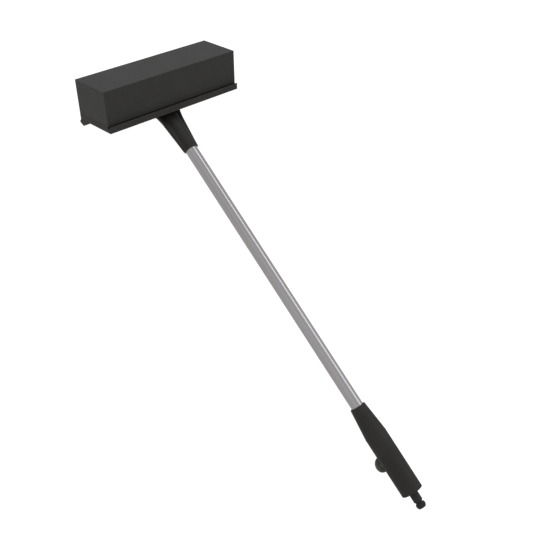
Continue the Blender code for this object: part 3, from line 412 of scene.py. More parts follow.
def carved(piece, operation, tools):
    """Cut, join or keep what is shared with helper objects, and drop the helpers."""
    for tool in tools:
        modifier = piece.modifiers.new(tool.name, "BOOLEAN")
        modifier.operation = operation
        modifier.solver = "EXACT"
        modifier.object = tool
    bpy.context.view_layer.update()
    graph = bpy.context.evaluated_depsgraph_get()
    mesh = bpy.data.meshes.new_from_object(piece.evaluated_get(graph))
    piece.modifiers.clear()
    piece.data = mesh
    for tool in tools:
        bpy.data.objects.remove(tool, do_unlink=True)


def linked(name, data):
    """A new object in the scene."""
    item = bpy.data.objects.new(name, data)
    bpy.context.scene.collection.objects.link(item)
    return item


def raw_object(name, bm, place):
    return linked(name, closed_mesh(name, bm, place))


def helper(bm, place):
    """A helper object for carving."""
    return raw_object("helper", bm, place)


def turned_piece(name, outline, place, steps=ROUND_STEPS):
    bm = bmesh.new()
    spin_into(bm, outline, steps)
    return raw_object(name, bm, place)


def turned_helper(outline, places, steps=SMALL_STEPS):
    bm = bmesh.new()
    for place in places:
        spin_into(bm, outline, steps, place)
    return helper(bm, Matrix.Identity(4))


def bar_piece(name, section, start, end, place, edge=0.0):
    bm = bmesh.new()
    bar_into(bm, section, start, end, edge)
    return raw_object(name, bm, place)


def soft_box_helper(low, high, edge, pitch, place):
    bm = bmesh.new()
    soft_box_into(bm, Vector(low), Vector(high), edge, pitch)
    return helper(bm, place)


def settle(piece, body, slot, *replaced, finish=None):
    """Shade a piece, give it its finish, tie it to its body and hide the CAD nodes that it replaces.
    """
    piece.data.shade_smooth()
    piece.data.set_sharp_from_angle(angle=SHARP_ANGLE)
    weighting = piece.modifiers.new("flat faces", "WEIGHTED_NORMAL")
    weighting.keep_sharp = True
    piece.data.materials.clear()
    piece.data.materials.append(finish_for(finish or slot))
    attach(piece, body)
    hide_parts(*replaced)


# --- shader recipes ---
class Wire:
    """A shader socket that takes part in sums; each sum adds the Math node that works it out."""

    def __init__(self, recipe, socket):
        self.recipe = recipe
        self.socket = socket

    def sum_of(self, operation, first, second):
        return self.recipe.node("ShaderNodeMath", {"operation": operation}, {0: first, 1: second})

    def __add__(self, other):
        return self.sum_of("ADD", self, other)

    def __sub__(self, other):
        return self.sum_of("SUBTRACT", self, other)

    def __rsub__(self, other):
        return self.sum_of("SUBTRACT", other, self)

    def __mul__(self, other):
        return self.sum_of("MULTIPLY", self, other)

    __radd__ = __add__
    __rmul__ = __mul__


class Recipe:
    """One material's node tree; numbers that are the same all over sit on the shader itself."""

    def __init__(self, name, **constants):
        self.material = bpy.data.materials.new(name)
        self.material.use_nodes = True
        self.tree = self.material.node_tree
        self.shader = self.tree.nodes["Principled BSDF"]
        for socket, value in constants.items():
            self.shader.inputs[socket.replace("_", " ")].default_value = value

    def node(self, kind, settings=None, inputs=None, output=0):
        """Add a node: its settings first, then the values or links of its sockets."""
        made = self.tree.nodes.new(kind)
        for setting, value in (settings or {}).items():
            setattr(made, setting, value)
        for socket, value in (inputs or {}).items():
            self.feed(made.inputs[socket], value)
        return Wire(self, made.outputs[output])

    def feed(self, socket, value):
        if isinstance(value, Wire):
            self.tree.links.new(value.socket, socket)
        else:
            socket.default_value = value

    def paint(self, colour, rough, height=None, strength=0.0, distance=0.0):
        """Link what changes over the surface to the shader: colour, roughness and bumps."""
        self.feed(self.shader.inputs["Base Color"], colour)
        self.feed(self.shader.inputs["Roughness"], rough)
        if height:
            inputs = {"Strength": strength, "Distance": distance, "Height": height}
            bumps = self.node("ShaderNodeBump", inputs=inputs)
            self.feed(self.shader.inputs["Normal"], bumps)
        return self.material

    def spot(self, stretch=(1.0, 1.0, 1.0)):
        """Where a point is on its piece, in metres, scaled along each axis."""
        place = self.node("ShaderNodeTexCoord", output="Object")
        return self.node("ShaderNodeVectorMath", {"operation": "MULTIPLY"}, {0: place, 1: stretch})

    def cloud(self, spot, scale, detail=2.0, roughness=0.5):
        """Soft noise between 0 and 1."""
        inputs = {"Vector": spot, "Scale": scale, "Detail": detail, "Roughness": roughness}
        return self.node("ShaderNodeTexNoise", inputs=inputs)

    def cells(self, spot, scale):
        """Distance to the middle of the nearest cell."""
        inputs = {"Vector": spot, "Scale": scale}
        return self.node("ShaderNodeTexVoronoi", {"feature": "F1"}, inputs)

    def ramp(self, value, low, high, start=0.0, end=1.0):
        """A smooth step from start to end while the value goes from low to high."""
        inputs = {"Value": value, "From Min": low, "From Max": high, "To Min": start, "To Max": end}
        return self.node("ShaderNodeMapRange", {"interpolation_type": "SMOOTHSTEP"}, inputs)

    def mixed(self, share, first, second):
        """A colour between two colours, the first plain or from another node."""
        first = first if isinstance(first, Wire) else (*first, 1.0)
        inputs = {0: share, 6: first, 7: (*second, 1.0)}
        return self.node("ShaderNodeMix", {"data_type": "RGBA"}, inputs, 2)

    def shades(self, share, colour, low, high):
        """A colour between two shades of one colour."""
        return self.mixed(share, scaled(colour, low), scaled(colour, high))


def scaled(colour, share):
    return tuple(part * share for part in colour)


def colours():
    return bpy.context.scene.washer_colours


def foam_finish(name, colour):
    """Dense foam cut with a hot wire: fine open pores, and a little paler on raised skin."""
    recipe = Recipe(name, Specular_IOR_Level=0.12, Sheen_Weight=0.03, Sheen_Roughness=0.5)
    spot = recipe.spot()
    pores = recipe.ramp(recipe.cells(spot, 1250.0), 0.12, 0.55)
    skin = recipe.cloud(spot, 700.0, 3.0, 0.6)
    patches = recipe.cloud(spot, 22.0, 3.0, 0.55)
    tone = pores * 0.55 + skin * 0.45
    colour_here = recipe.shades(tone, colour, 0.72, 1.22)
    colour_here = recipe.mixed(recipe.ramp(patches, 0.35, 0.75, 0.0, 0.16), colour_here,
                               scaled(colour, 1.5))
    height = pores * 0.7 + skin * 0.5
    rough = recipe.ramp(skin, 0.3, 0.7, 0.88, 0.98)
    return recipe.paint(colour_here, rough, height, 0.35, 0.00025)


def moulded_finish(name, colour, gloss, grain_depth, shine=0.3, grain=1500.0):
    """Injection-moulded plastic: fine spark-eroded grain, flow clouds and light handling marks."""
    recipe = Recipe(name, Specular_IOR_Level=shine, IOR=1.5)
    spot = recipe.spot()
    grains = recipe.cloud(spot, grain, 4.0, 0.62)
    flow = recipe.cloud(spot, 14.0, 2.0, 0.5)
    scuffs = recipe.cloud(recipe.spot((260.0, 34.0, 260.0)), 1.0, 5.0, 0.7)
    marks = recipe.ramp(scuffs, 0.60, 0.72)
    colour_here = recipe.shades(recipe.ramp(flow, 0.3, 0.7), colour, 0.9, 1.1)
    colour_here = recipe.mixed(marks * 0.12, colour_here, scaled(colour, 2.2))
    rough = gloss + grains * 0.10 - marks * 0.05 + flow * 0.06
    height = grains + marks * 0.25
    return recipe.paint(colour_here, rough, height, 0.30, grain_depth)


def seat_plastic_finish(name, colour):
    """Slippery white seat material with a faint machined ring pattern."""
    recipe = Recipe(name, Specular_IOR_Level=0.45)
    spot = recipe.spot((1.0, 6.0, 1.0))
    rings = recipe.cloud(spot, 900.0, 2.0, 0.5)
    colour_here = recipe.mixed(rings, scaled(colour, 0.93), colour)
    rough = recipe.ramp(rings, 0.2, 0.8, 0.30, 0.45)
    return recipe.paint(colour_here, rough, rings, 0.2, 0.00003)


def rubber_finish(name, colour):
    """Matt black rubber with a faint bloom and fine dimples."""
    recipe = Recipe(name, Specular_IOR_Level=0.35)
    spot = recipe.spot()
    dimples = recipe.cells(spot, 1600.0)
    bloom = recipe.cloud(spot, 40.0, 4.0, 0.6)
    colour_here = recipe.mixed(recipe.ramp(bloom, 0.4, 0.8), colour, scaled(colour, 1.7))
    rough = recipe.ramp(bloom, 0.3, 0.8, 0.62, 0.80)
    return recipe.paint(colour_here, rough, dimples, 0.25, 0.00006)


def aluminium_finish(name, colour):
    """Drawn and satin anodised tube: fine streaks along its length, with soft broad bands."""
    recipe = Recipe(name, Metallic=1.0)
    fine = recipe.cloud(recipe.spot((2600.0, 9.0, 2600.0)), 1.0, 3.0, 0.6)
    broad = recipe.cloud(recipe.spot((320.0, 1.2, 320.0)), 1.0, 2.0, 0.5)
    dulling = recipe.cloud(recipe.spot(), 30.0, 4.0, 0.6)
    streaks = fine * 0.5 + broad * 0.5
    colour_here = recipe.shades(recipe.ramp(streaks, 0.3, 0.7), colour, 0.88, 1.10)
    rough = recipe.ramp(streaks, 0.3, 0.7, 0.19, 0.27) + dulling * 0.04
    return recipe.paint(colour_here, rough, streaks, 0.22, 0.00004)


def turned_metal_finish(name, colour, rough):
    """Turned metal: close tool rings, small stains and a soft tarnish."""
    recipe = Recipe(name, Metallic=1.0)
    rings = recipe.cloud(recipe.spot((1.0, 1.0, 14.0)), 700.0, 2.0, 0.5)
    stains = recipe.cloud(recipe.spot(), 160.0, 4.0, 0.6)
    colour_here = recipe.mixed(recipe.ramp(stains, 0.35, 0.75), colour, scaled(colour, 0.78))
    stained = recipe.ramp(stains, 0.3, 0.8, rough, rough + 0.14)
    return recipe.paint(colour_here, stained + rings * 0.05, rings, 0.2, 0.00003)


FINISH_MAKERS = {  # finish: its function, its colour and its other values
    "black_foam": (foam_finish, "foam"),
    "black_plastic": (moulded_finish, "plastic", 0.44, 0.00008),
    # partly painted light: the knob's finish is partly its own lighter grey plastic and partly painted
    # light that makes up for the shade under the grip
    "knob_plastic": (moulded_finish, "knob", 0.46, 0.00006),
    "plate_plastic": (moulded_finish, "plate", 0.48, 0.00008, 0.2),
    # painted shade: a near-black copy of the plate's plastic, with its gloss turned down, stands in
    # for the shade in the slot between the block and the lip
    "slot_plastic": (moulded_finish, "slot", 0.80, 0.00006, 0.03),
    "grey_plastic": (moulded_finish, "inner_plastic", 0.42, 0.00005, 0.3, 1800.0),
    "white_seat_plastic": (seat_plastic_finish, "seat"),
    "black_rubber": (rubber_finish, "rubber"),
    "tube_aluminium": (aluminium_finish, "aluminium"),
    "valve_brass": (turned_metal_finish, "brass", 0.24),
    "screw_steel": (turned_metal_finish, "steel", 0.22),
}
finishes = {}


def finish_for(slot):
    """The finish of a material slot, made the first time that it is asked for."""
    if slot not in finishes:
        maker, colour, *values = FINISH_MAKERS[slot]
        finishes[slot] = maker(slot, tuple(getattr(colours(), colour)), *values)
    return finishes[slot]


# --- settings that a user would change ---
def length(name, description, default):
    return FloatProperty(name=name, description=description, default=default, min=0.0,
                         precision=5, unit="LENGTH")


def tint(name, description, default):
    return FloatVectorProperty(name=name, description=description, default=default, min=0.0,
                               max=1.0, size=3, subtype="COLOR")


class HeadSettings(PropertyGroup):
    """Edges and small sizes of the block, plate, rail and blade."""

    foam_edge: length("Foam edge", "Radius of the foam block's cut edges", 0.0003)
    foam_pitch: length("Foam mesh", "Distance between points on the foam block", 0.0028)
    foam_wander: length("Foam wander", "How far the cut faces stray inward", 0.00015)
    plate_edge: length("Plate edge", "Radius of the plate's long outer edges", 0.0004)
    lip_wall: length("Lip wall", "Thickness of the lip at its foot", 0.0027)
    lip_tip: length("Lip tip", "Thickness of the lip at its top", 0.0011)
    lip_foot: length("Lip foot", "Height where the lip starts to taper", 0.0040)
    rail_edge: length("Rail edge", "Radius of the rail's long lower edges", 0.0007)
    blade_thickness: length("Blade thickness", "Thickness of the rubber blade", 0.0025)
    bead_height: length("Bead height", "Height of the blade's bead in the rail", 0.0032)
    bead_width: length("Bead width", "Width of the blade's bead in the rail", 0.0038)
    blade_setback: length("Blade setback", "Blade's middle from the rail's rear", 0.0035)
    front_wall_rise: length("Front wall rise", "Rail's front wall above its rear one",
                                    0.0018)


class NeckSettings(PropertyGroup):
    """Sizes of the neck between the head and the tube."""

    socket_depth: length("Socket depth", "How far the tube goes into the neck", 0.069)
    socket_wall: length("Socket wall", "Wall round the tube", 0.0020)
    throat: length("Throat radius", "Radius of the neck above its socket", 0.0115)
    wing_edge: length("Wing half thickness", "Half the thickness of the wings", 0.0047)
    wing_tip: length("Wing tip", "Half-width of the wings at the tube's end", 0.0158)
    foot_thickness: length("Foot thickness", "Thickness of the screwed foot", 0.0030)
    foot_fillet: length("Foot fillet", "Fillet between the neck and its foot", 0.0035)
    foot_edge: length("Foot edge", "Radius of the foot's edges", 0.0009)
    foot_front: FloatProperty(name="Foot front", description="Foot's front edge on the plate",
                              default=-0.0400, precision=5, unit="LENGTH")
    end_edge: length("End edge", "Radius at the neck's lower end", 0.0005)


class HandleSettings(PropertyGroup):
    """Edges and small sizes of the tube, grip, valve knob and hose nipple."""

    tube_wall: length("Tube wall", "Wall of the tube", 0.0010)
    grip_front: length("Grip front", "Grip's radius where the bare tube ends", 0.0152)
    grip_taper: length("Grip taper", "Length of the grip's tapered front", 0.061)
    grip_shoulder: length("Grip shoulder", "Rounding where the taper ends", 0.030)
    grip_edge: length("Grip edge", "Radius of the grip's two end edges", 0.0007)
    cap_edge: length("Cap edge", "Radius of the end cap's edges", 0.0006)
    knob_edge: length("Knob edge", "Radius of the knob's rim", 0.0013)
    knob_dish: length("Knob dish", "Depth of the ring sunk into the knob's face", 0.0005)


class ColourSettings(PropertyGroup):
    """Colours of the finishes."""

    foam: tint("Foam", "Block", (0.0385, 0.0377, 0.0365))
    plastic: tint("Black plastic", "Neck, grip and hose nipple",
                            (0.0160, 0.0150, 0.0139))
    inner_plastic: tint("Grey plastic", "Pieces inside", (0.30, 0.30, 0.30))
    seat: tint("Seat plastic", "Valve seats", (0.80, 0.80, 0.78))
    # partly painted light: this colour is partly the knob's own grey and partly painted light for the
    # shade that the grip casts on the knob
    knob: tint("Knob plastic", "Valve's knob", (0.105, 0.108, 0.099))
    plate: tint("Plate plastic", "Plate, rail and end clips", (0.0310, 0.0297, 0.0278))
    # painted shade: this near-black colour stands in for the shade in the slot between the block and
    # the lip; the walls are the plate's own black plastic, not wet
    slot: tint("Slot", "Walls of the water slot, wet and out of the light",
                         (0.0050, 0.0047, 0.0043))
    rubber: tint("Rubber", "Blade, gasket and seals", (0.020, 0.020, 0.020))
    aluminium: tint("Aluminium", "Tube", (0.585, 0.58, 0.63))
    brass: tint("Brass", "Valve's moving pieces", (0.72, 0.55, 0.27))
    steel: tint("Steel", "Screws", (0.58, 0.58, 0.59))
    floor: tint("Floor", "Floor that the washer lies on", (0.12, 0.12, 0.12))


class StageSettings(PropertyGroup):
    """Light on the washer."""

    sky: FloatProperty(name="Sky", description="Strength of the even light all round", default=0.5,
                       min=0.0)
    key: FloatProperty(name="Key", description="Strength of the main soft light", default=2.7,
                       min=0.0)
    strip: FloatProperty(name="Strip", description="Power of the long lamp that shows in the tube",
                         default=6.5, min=0.0)
    floor_glow: FloatProperty(name="Floor glow", description="Light that the floor gives off",
                              default=1.03, min=0.0)


# --- the head ---
class WASHER_OT_foam_block(Operator):
    """Make the foam block with its rounded cut edges and its pocket for the backing"""

    bl_idname = "washer.foam_block"
    bl_label = "Foam block"

    def execute(self, context):
        sizes = context.scene.washer_head
        low, high = corners_in("sponge_block", HEAD)
        bm = bmesh.new()
        soft_box_into(bm, low, high, sizes.foam_edge, sizes.foam_pitch)
        middle = (low + high) / 2
        for vert in bm.verts:
            waves = 0.5 + 0.5 * noise.noise(vert.co * FOAM_WAVES)
            rags = 0.5 + 0.5 * noise.noise(vert.co * FOAM_RAGS)
            inward = (middle - vert.co).normalized()
            vert.co += inward * sizes.foam_wander * (0.7 * waves + 0.3 * rags)
        block = raw_object("foam_block", bm, HEAD)
        backing_low, backing_high = corners_in("block_backing", HEAD)
        room = Vector((GAP, GAP, GAP))
        pocket = bmesh.new()
        floor = Vector((backing_low.x, backing_low.y, low.z - OVERCUT))
        box_into(pocket, floor - room, backing_high + room)
        carved(block, "DIFFERENCE", [helper(pocket, HEAD)])
        settle(block, STILL_BODY, "black_foam", "sponge_block")
        return {"FINISHED"}


class WASHER_OT_head_plate(Operator):
    """Make the plate: the CAD plate with its outer edges eased, its lip tapered and painted shade on
    its slot's walls
    """

    bl_idname = "washer.head_plate"
    bl_label = "Head plate"

    def execute(self, context):
        sizes = context.scene.washer_head
        edge = sizes.plate_edge
        low, high = corners_in("head_plate", HEAD)
        block_low, _ = corners_in("sponge_block", HEAD)
        inside = block_low.y + edge
        outline = filleted([
            (low.y - SKIN, low.z - SKIN, edge * 1.6), (high.y + SKIN, low.z - SKIN, edge),
            (high.y + SKIN, block_low.z, 0), (inside, block_low.z, 0),
            (inside, high.z + SKIN, 0), (low.y - SKIN, high.z + SKIN, edge)])
        plate = bar_piece("plate_with_lip", outline, low.x - SKIN, high.x + SKIN, HEAD, edge * 0.6)
        copy = bmesh.new()
        copy.from_mesh(cad_nodes["head_plate"].data)
        carved(plate, "INTERSECT", [helper(copy, Matrix.Identity(4))])
        wall, tip = low.y + sizes.lip_wall, low.y + sizes.lip_tip
        clear = wall + OVERCUT / 4
        wedge = [(wall, sizes.lip_foot), (tip, high.z + GAP), (clear, high.z + GAP),
                 (clear, sizes.lip_foot)]
        carved(plate, "DIFFERENCE", [bar_piece("helper", wedge, low.x - GAP, high.x + GAP, HEAD)])
        settle(plate, STILL_BODY, "black_plastic", "head_plate", finish="plate_plastic")
        # painted shade: faces on the slot's walls, between the lip and the block, get the near-black
        # slot finish
        plate.data.materials.append(finish_for("slot_plastic"))
        to_head = HEAD.inverted()
        for face in plate.data.polygons:
            spot = to_head @ face.center
            across = low.y + edge < spot.y < block_low.y + edge
            if across and sizes.lip_foot / 2 < spot.z < high.z - edge:
                face.material_index = int(abs(spot.x) < high.x - edge)
        return {"FINISHED"}


def under_plate(y):
    """Height in ORIGIN of the plate's underside, less the gap, at a y."""
    return -(y * LEAN_SIN / LEAN_COS + GAP / LEAN_COS)


class WASHER_OT_blade_rail(Operator):
    """Make the rail, the rubber blade that it holds and the two end clips"""

    bl_idname = "washer.blade_rail"
    bl_label = "Blade rail"

    def execute(self, context):
        sizes = context.scene.washer_head
        low, high = corners_in("blade_rail", ORIGIN)
        blade_low, blade_high = corners_in("squeegee_blade", ORIGIN)
        front_end = low.z + sizes.front_wall_rise
        middle = high.y - sizes.blade_setback
        half, bead = sizes.blade_thickness / 2, sizes.bead_width / 2
        slot, key = half + GAP, bead + GAP
        key_low = blade_high.z - sizes.bead_height - GAP
        key_high = blade_high.z + GAP
        edge = sizes.rail_edge
        front = [(low.y, front_end, edge), (low.y, under_plate(low.y), edge * 0.25)]
        rear = [(high.y, under_plate(high.y), edge * 0.25), (high.y, low.z, edge)]
        keyhole = [(middle + slot, low.z, EASED), (middle + slot, key_low, BROKEN),
                   (middle + key, key_low, SOFT), (middle + key, key_high, SOFT),
                   (middle - key, key_high, SOFT), (middle - key, key_low, SOFT),
                   (middle - slot, key_low, BROKEN), (middle - slot, front_end, EASED)]
        rail = bar_piece("rail_bar", filleted(front + rear + keyhole), low.x, high.x, ORIGIN)
        screw_low, screw_high = corners_in("rail_screw_1", HEAD)
        hole_radius = (screw_high.x - screw_low.x) * RAIL_HOLE_SHARE
        shank = pin(hole_radius, screw_low.z - GAP, OVERCUT)
        holes = turned_helper(shank, [middle_of(node, HEAD) for node in RAIL_SCREWS], RAIL_HOLE_STEPS)
        carved(rail, "DIFFERENCE", [holes])
        settle(rail, STILL_BODY, "black_plastic", "blade_rail", finish="plate_plastic")

        bead_low = blade_high.z - sizes.bead_height
        section = filleted([
            (middle - half, blade_low.z, BROKEN), (middle + half, blade_low.z, BROKEN),
            (middle + half, bead_low, SOFT), (middle + bead, bead_low, BEAD_FOOT),
            (middle + bead, blade_high.z, BEAD_TOP), (middle - bead, blade_high.z, BEAD_TOP),
            (middle - bead, bead_low, BEAD_FOOT), (middle - half, bead_low, SOFT)])
        blade = bar_piece("rubber_blade", section, blade_low.x, blade_high.x, ORIGIN)
        settle(blade, STILL_BODY, "black_rubber", "squeegee_blade")

        for side in ("left", "right"):
            node = "rail_end_clip_" + side
            low, high = corners_in(node, ORIGIN)
            clip = bar_piece("end_clip_" + side, filleted(front + rear), low.x, high.x, ORIGIN,
                             edge * 0.3)
            settle(clip, STILL_BODY, "black_plastic", node, finish="plate_plastic")
        return {"FINISHED"}


# --- the neck ---
def ease(share):
    share = min(max(share, 0), 1)
    return share * share * (3 - 2 * share)


class NeckShape:
    """The neck's surface: a round socket blended with two wings, spread out at the foot."""

    def __init__(self, settings):
        self.settings = settings
        self.length = corners_in("neck", POLE)[1].z
        self.bore = corners_in("pole_tube", POLE)[1].x + GAP
        self.socket_radius = self.bore + settings.socket_wall
        self.socket_floor = self.length - settings.socket_depth
        self.step_start = self.socket_floor - STEP_BEFORE_FLOOR
        self.foot_top = -GAP - settings.foot_thickness

    def wing_half(self, station):
        """Half-width of the wings at a station along the tube's axis."""
        flare = max(WING_FLARE_START - max(station, WING_FLARE_END), 0)
        return self.settings.wing_tip + WING_SLOPE * (self.length - station) + WING_FLARE * flare ** 2

    def bare_radius(self, angle, station):
        """Distance from the tube's axis to the socket blended with the wings."""
        throat = self.settings.throat
        core = throat + (self.socket_radius - throat) * ease((station - self.step_start) / STEP_LENGTH)
        across = abs(cos(angle)) / self.wing_half(station)
        through = abs(sin(angle)) / self.settings.wing_edge
        wing = (across ** WING_CORNER + through ** WING_CORNER) ** (-1 / WING_CORNER)
        return (core ** CREASE + wing ** CREASE) ** (1 / CREASE)

    def radius(self, angle, station):
        """The blended radius, spread out by the fillet where the neck meets its foot."""
        fillet = self.settings.foot_fillet
        bare = radius = self.bare_radius(angle, station)
        for _ in range(3):
            below = self.foot_top - (radius * sin(angle) * LEAN_COS - station * LEAN_SIN)
            near = 1 - min(max(below / fillet, 0), 1)
            radius = bare + fillet * (1 - sqrt(1 - near ** 2)) * FILLET_SPREAD
        return radius

    def start(self, angle):
        """The station where the neck's surface goes into the foot."""
        station = FIRST_STATION
        for _ in range(12):
            up = self.radius(angle, station) * sin(angle)
            station = (up * LEAN_COS - self.foot_top - FOOT_SINK) / LEAN_SIN
        return station

    def point(self, angle, station, shrink=0.0):
        radius = self.radius(angle, station) - shrink
        return (radius * cos(angle), radius * sin(angle), station)

    def rings(self):
        angles = []
        for index in range(NECK_SEGMENTS):
            turn = 2 * pi * index / NECK_SEGMENTS
            angles.append(turn - NECK_CROWD * sin(2 * turn))
        starts = [self.start(angle) for angle in angles]
        edge, step_end = self.settings.end_edge, self.step_start + STEP_LENGTH
        stations = []
        for index in range(THROAT_RINGS):
            share = (index / THROAT_RINGS) ** THROAT_CROWD
            stations.append([begin + (self.step_start - begin) * share for begin in starts])
        levels = [self.step_start + STEP_LENGTH * index / STEP_RINGS for index in range(STEP_RINGS)]
        levels += [step_end + (self.length - edge - step_end) * index / SOCKET_RINGS
                   for index in range(SOCKET_RINGS + 1)]
        stations += [[level] * NECK_SEGMENTS for level in levels]
        rings = [[self.point(angle, station) for angle, station in zip(angles, row)]
                 for row in stations]
        for index in range(1, FILLET_STEPS + 1):
            turn = pi / 2 * index / FILLET_STEPS
            level = self.length - edge * (1 - sin(turn))
            shrink = edge * (1 - cos(turn))
            rings.append([self.point(angle, level, shrink) for angle in angles])
        return rings


class WASHER_OT_neck(Operator):
    """Make the neck: wings blended into a round socket, and a screwed foot"""

    bl_idname = "washer.neck"
    bl_label = "Neck"

    def execute(self, context):
        settings = context.scene.washer_neck
        shape = NeckShape(settings)
        bm = bmesh.new()
        loft_into(bm, shape.rings())
        neck = raw_object("winged_neck", bm, POLE)
        _, high = corners_in("neck", HEAD)
        foot = soft_box_helper((-high.x, settings.foot_front, shape.foot_top),
                               (high.x, high.y, -GAP), settings.foot_edge, FOOT_PITCH, HEAD)
        carved(neck, "UNION", [foot])
        mouth = filleted([
            (0, PASSAGE_TOP, 0), (PASSAGE_RADIUS, PASSAGE_TOP, 0),
            (PASSAGE_RADIUS, shape.socket_floor, 0), (shape.bore, shape.socket_floor, 0),
            (shape.bore, shape.length, BROKEN),
            (shape.bore + OVERCUT, shape.length + OVERCUT, 0),
            (0, shape.length + OVERCUT, 0)], closed=False)
        seal_low, seal_high = corners_in("neck_face_seal", HEAD)
        seal_outer = seal_high.x + GAP
        seal_inner = seal_outer - 2 * (seal_high.z - seal_low.z) * SEAL_GROOVE_SHARE
        groove = [(seal_inner, OVERCUT), (seal_outer, OVERCUT),
                  (seal_outer, seal_low.z - GAP), (seal_inner, seal_low.z - GAP)]
        hole = pin(NECK_SCREW_HOLE, shape.foot_top - OVERCUT, OVERCUT)
        side = pin(SIDE_SCREW_HOLE, SIDE_SCREW_INNER, SIDE_SCREW_OUTER)
        carved(neck, "DIFFERENCE", [
            turned_helper(mouth, [POLE], ROUND_STEPS),
            turned_helper(groove, [HEAD @ at(0, (seal_low.y + seal_high.y) / 2)]),
            turned_helper(hole, [middle_of(node, HEAD) for node in NECK_SCREWS], HOLE_STEPS),
            turned_helper(side, [radial(station_of("neck_tube_screw"))], HOLE_STEPS)])
        settle(neck, STILL_BODY, "black_plastic", "neck")
        return {"FINISHED"}


# --- the handle ---
class WASHER_OT_pole_tube(Operator):
    """Make the satin tube with eased ends and its two screw holes"""

    bl_idname = "washer.pole_tube"
    bl_label = "Tube"

    def execute(self, context):
        low, high = corners_in("pole_tube", POLE)
        inside = high.x - context.scene.washer_handle.tube_wall
        outline = filleted([(inside, low.z, BROKEN), (high.x, low.z, EASED),
                            (high.x, high.z, EASED), (inside, high.z, BROKEN)])
        tube = turned_piece("satin_tube", spaced(outline, TUBE_PITCH), POLE)
        hole = pin(SIDE_SCREW_HOLE, SIDE_SCREW_INNER - OVERCUT, SIDE_SCREW_OUTER)
        places = [radial(station_of(node)) for node in ("neck_tube_screw", "grip_screw_front")]
        carved(tube, "DIFFERENCE", [turned_helper(hole, places, HOLE_STEPS)])
        settle(tube, STILL_BODY, "tube_aluminium", "pole_tube")
        return {"FINISHED"}


class WASHER_OT_grip(Operator):
    """Make the tapered grip and the cap that closes its end"""

    bl_idname = "washer.grip"
    bl_label = "Grip"

    def execute(self, context):
        sizes = context.scene.washer_handle
        low, high = corners_in("grip", POLE)
        cap_low, cap_high = corners_in("grip_end_cap", POLE)
        _, tube_high = corners_in("pole_tube", POLE)
        bore, step = tube_high.x + GAP, tube_high.z + GAP
        cavity = corners_in("valve_body", POLE)[1].x + GAP
        recess, floor = cap_high.x + GAP, cap_low.z - GAP
        outline = filleted([
            (sizes.grip_front, low.z, sizes.grip_edge),
            (high.x, low.z + sizes.grip_taper, sizes.grip_shoulder),
            (high.x - GAP, high.z, sizes.grip_edge), (recess, high.z, EASED),
            (recess, floor, 0), (cavity, floor, 0), (cavity, step, 0), (bore, step, 0),
            (bore, low.z, SOFT)])
        grip = turned_piece("tapered_grip", spaced(outline, GRIP_PITCH), POLE)
        tools = []
        for node, place in side_screws():
            screw_low, screw_high = corners_in(node, place)
            seat, tip = screw_high.z - GRIP_SCREW_HEAD - GAP, screw_low.z - OVERCUT
            hole = [(0, tip), (SIDE_SCREW_HOLE, tip), (SIDE_SCREW_HOLE, seat),
                    (screw_high.x + GAP, seat), (screw_high.x + GAP, high.x + OVERCUT),
                    (0, high.x + OVERCUT)]
            tools.append(turned_helper(hole, [place]))
        well_radius = corners_in("gland_nut", VALVE)[1].x + WELL_CLEARANCE
        well = pin(well_radius, bore, high.x + OVERCUT)
        tools.append(turned_helper(well, [radial(station_of("valve_knob"))]))
        carved(grip, "DIFFERENCE", tools)
        settle(grip, STILL_BODY, "black_plastic", "grip")

        barrel, face = NIPPLE_BARREL + CAP_CLEARANCE, cap_high.z
        ring, sunk = (cap_high.x + barrel) / 2, cap_high.z - CAP_RING_DEPTH
        outline = filleted([
            (barrel, cap_low.z, BROKEN), (cap_high.x, cap_low.z, BROKEN),
            (cap_high.x, face, sizes.cap_edge), (ring + CAP_RING_HALF, face, EASED),
            (ring + CAP_RING_FLOOR, sunk, BROKEN), (ring - CAP_RING_FLOOR, sunk, BROKEN),
            (ring - CAP_RING_HALF, face, EASED), (barrel, face, SOFT)])
        cap = turned_piece("end_cap", outline, POLE)
        settle(cap, STILL_BODY, "black_plastic", "grip_end_cap")
        return {"FINISHED"}


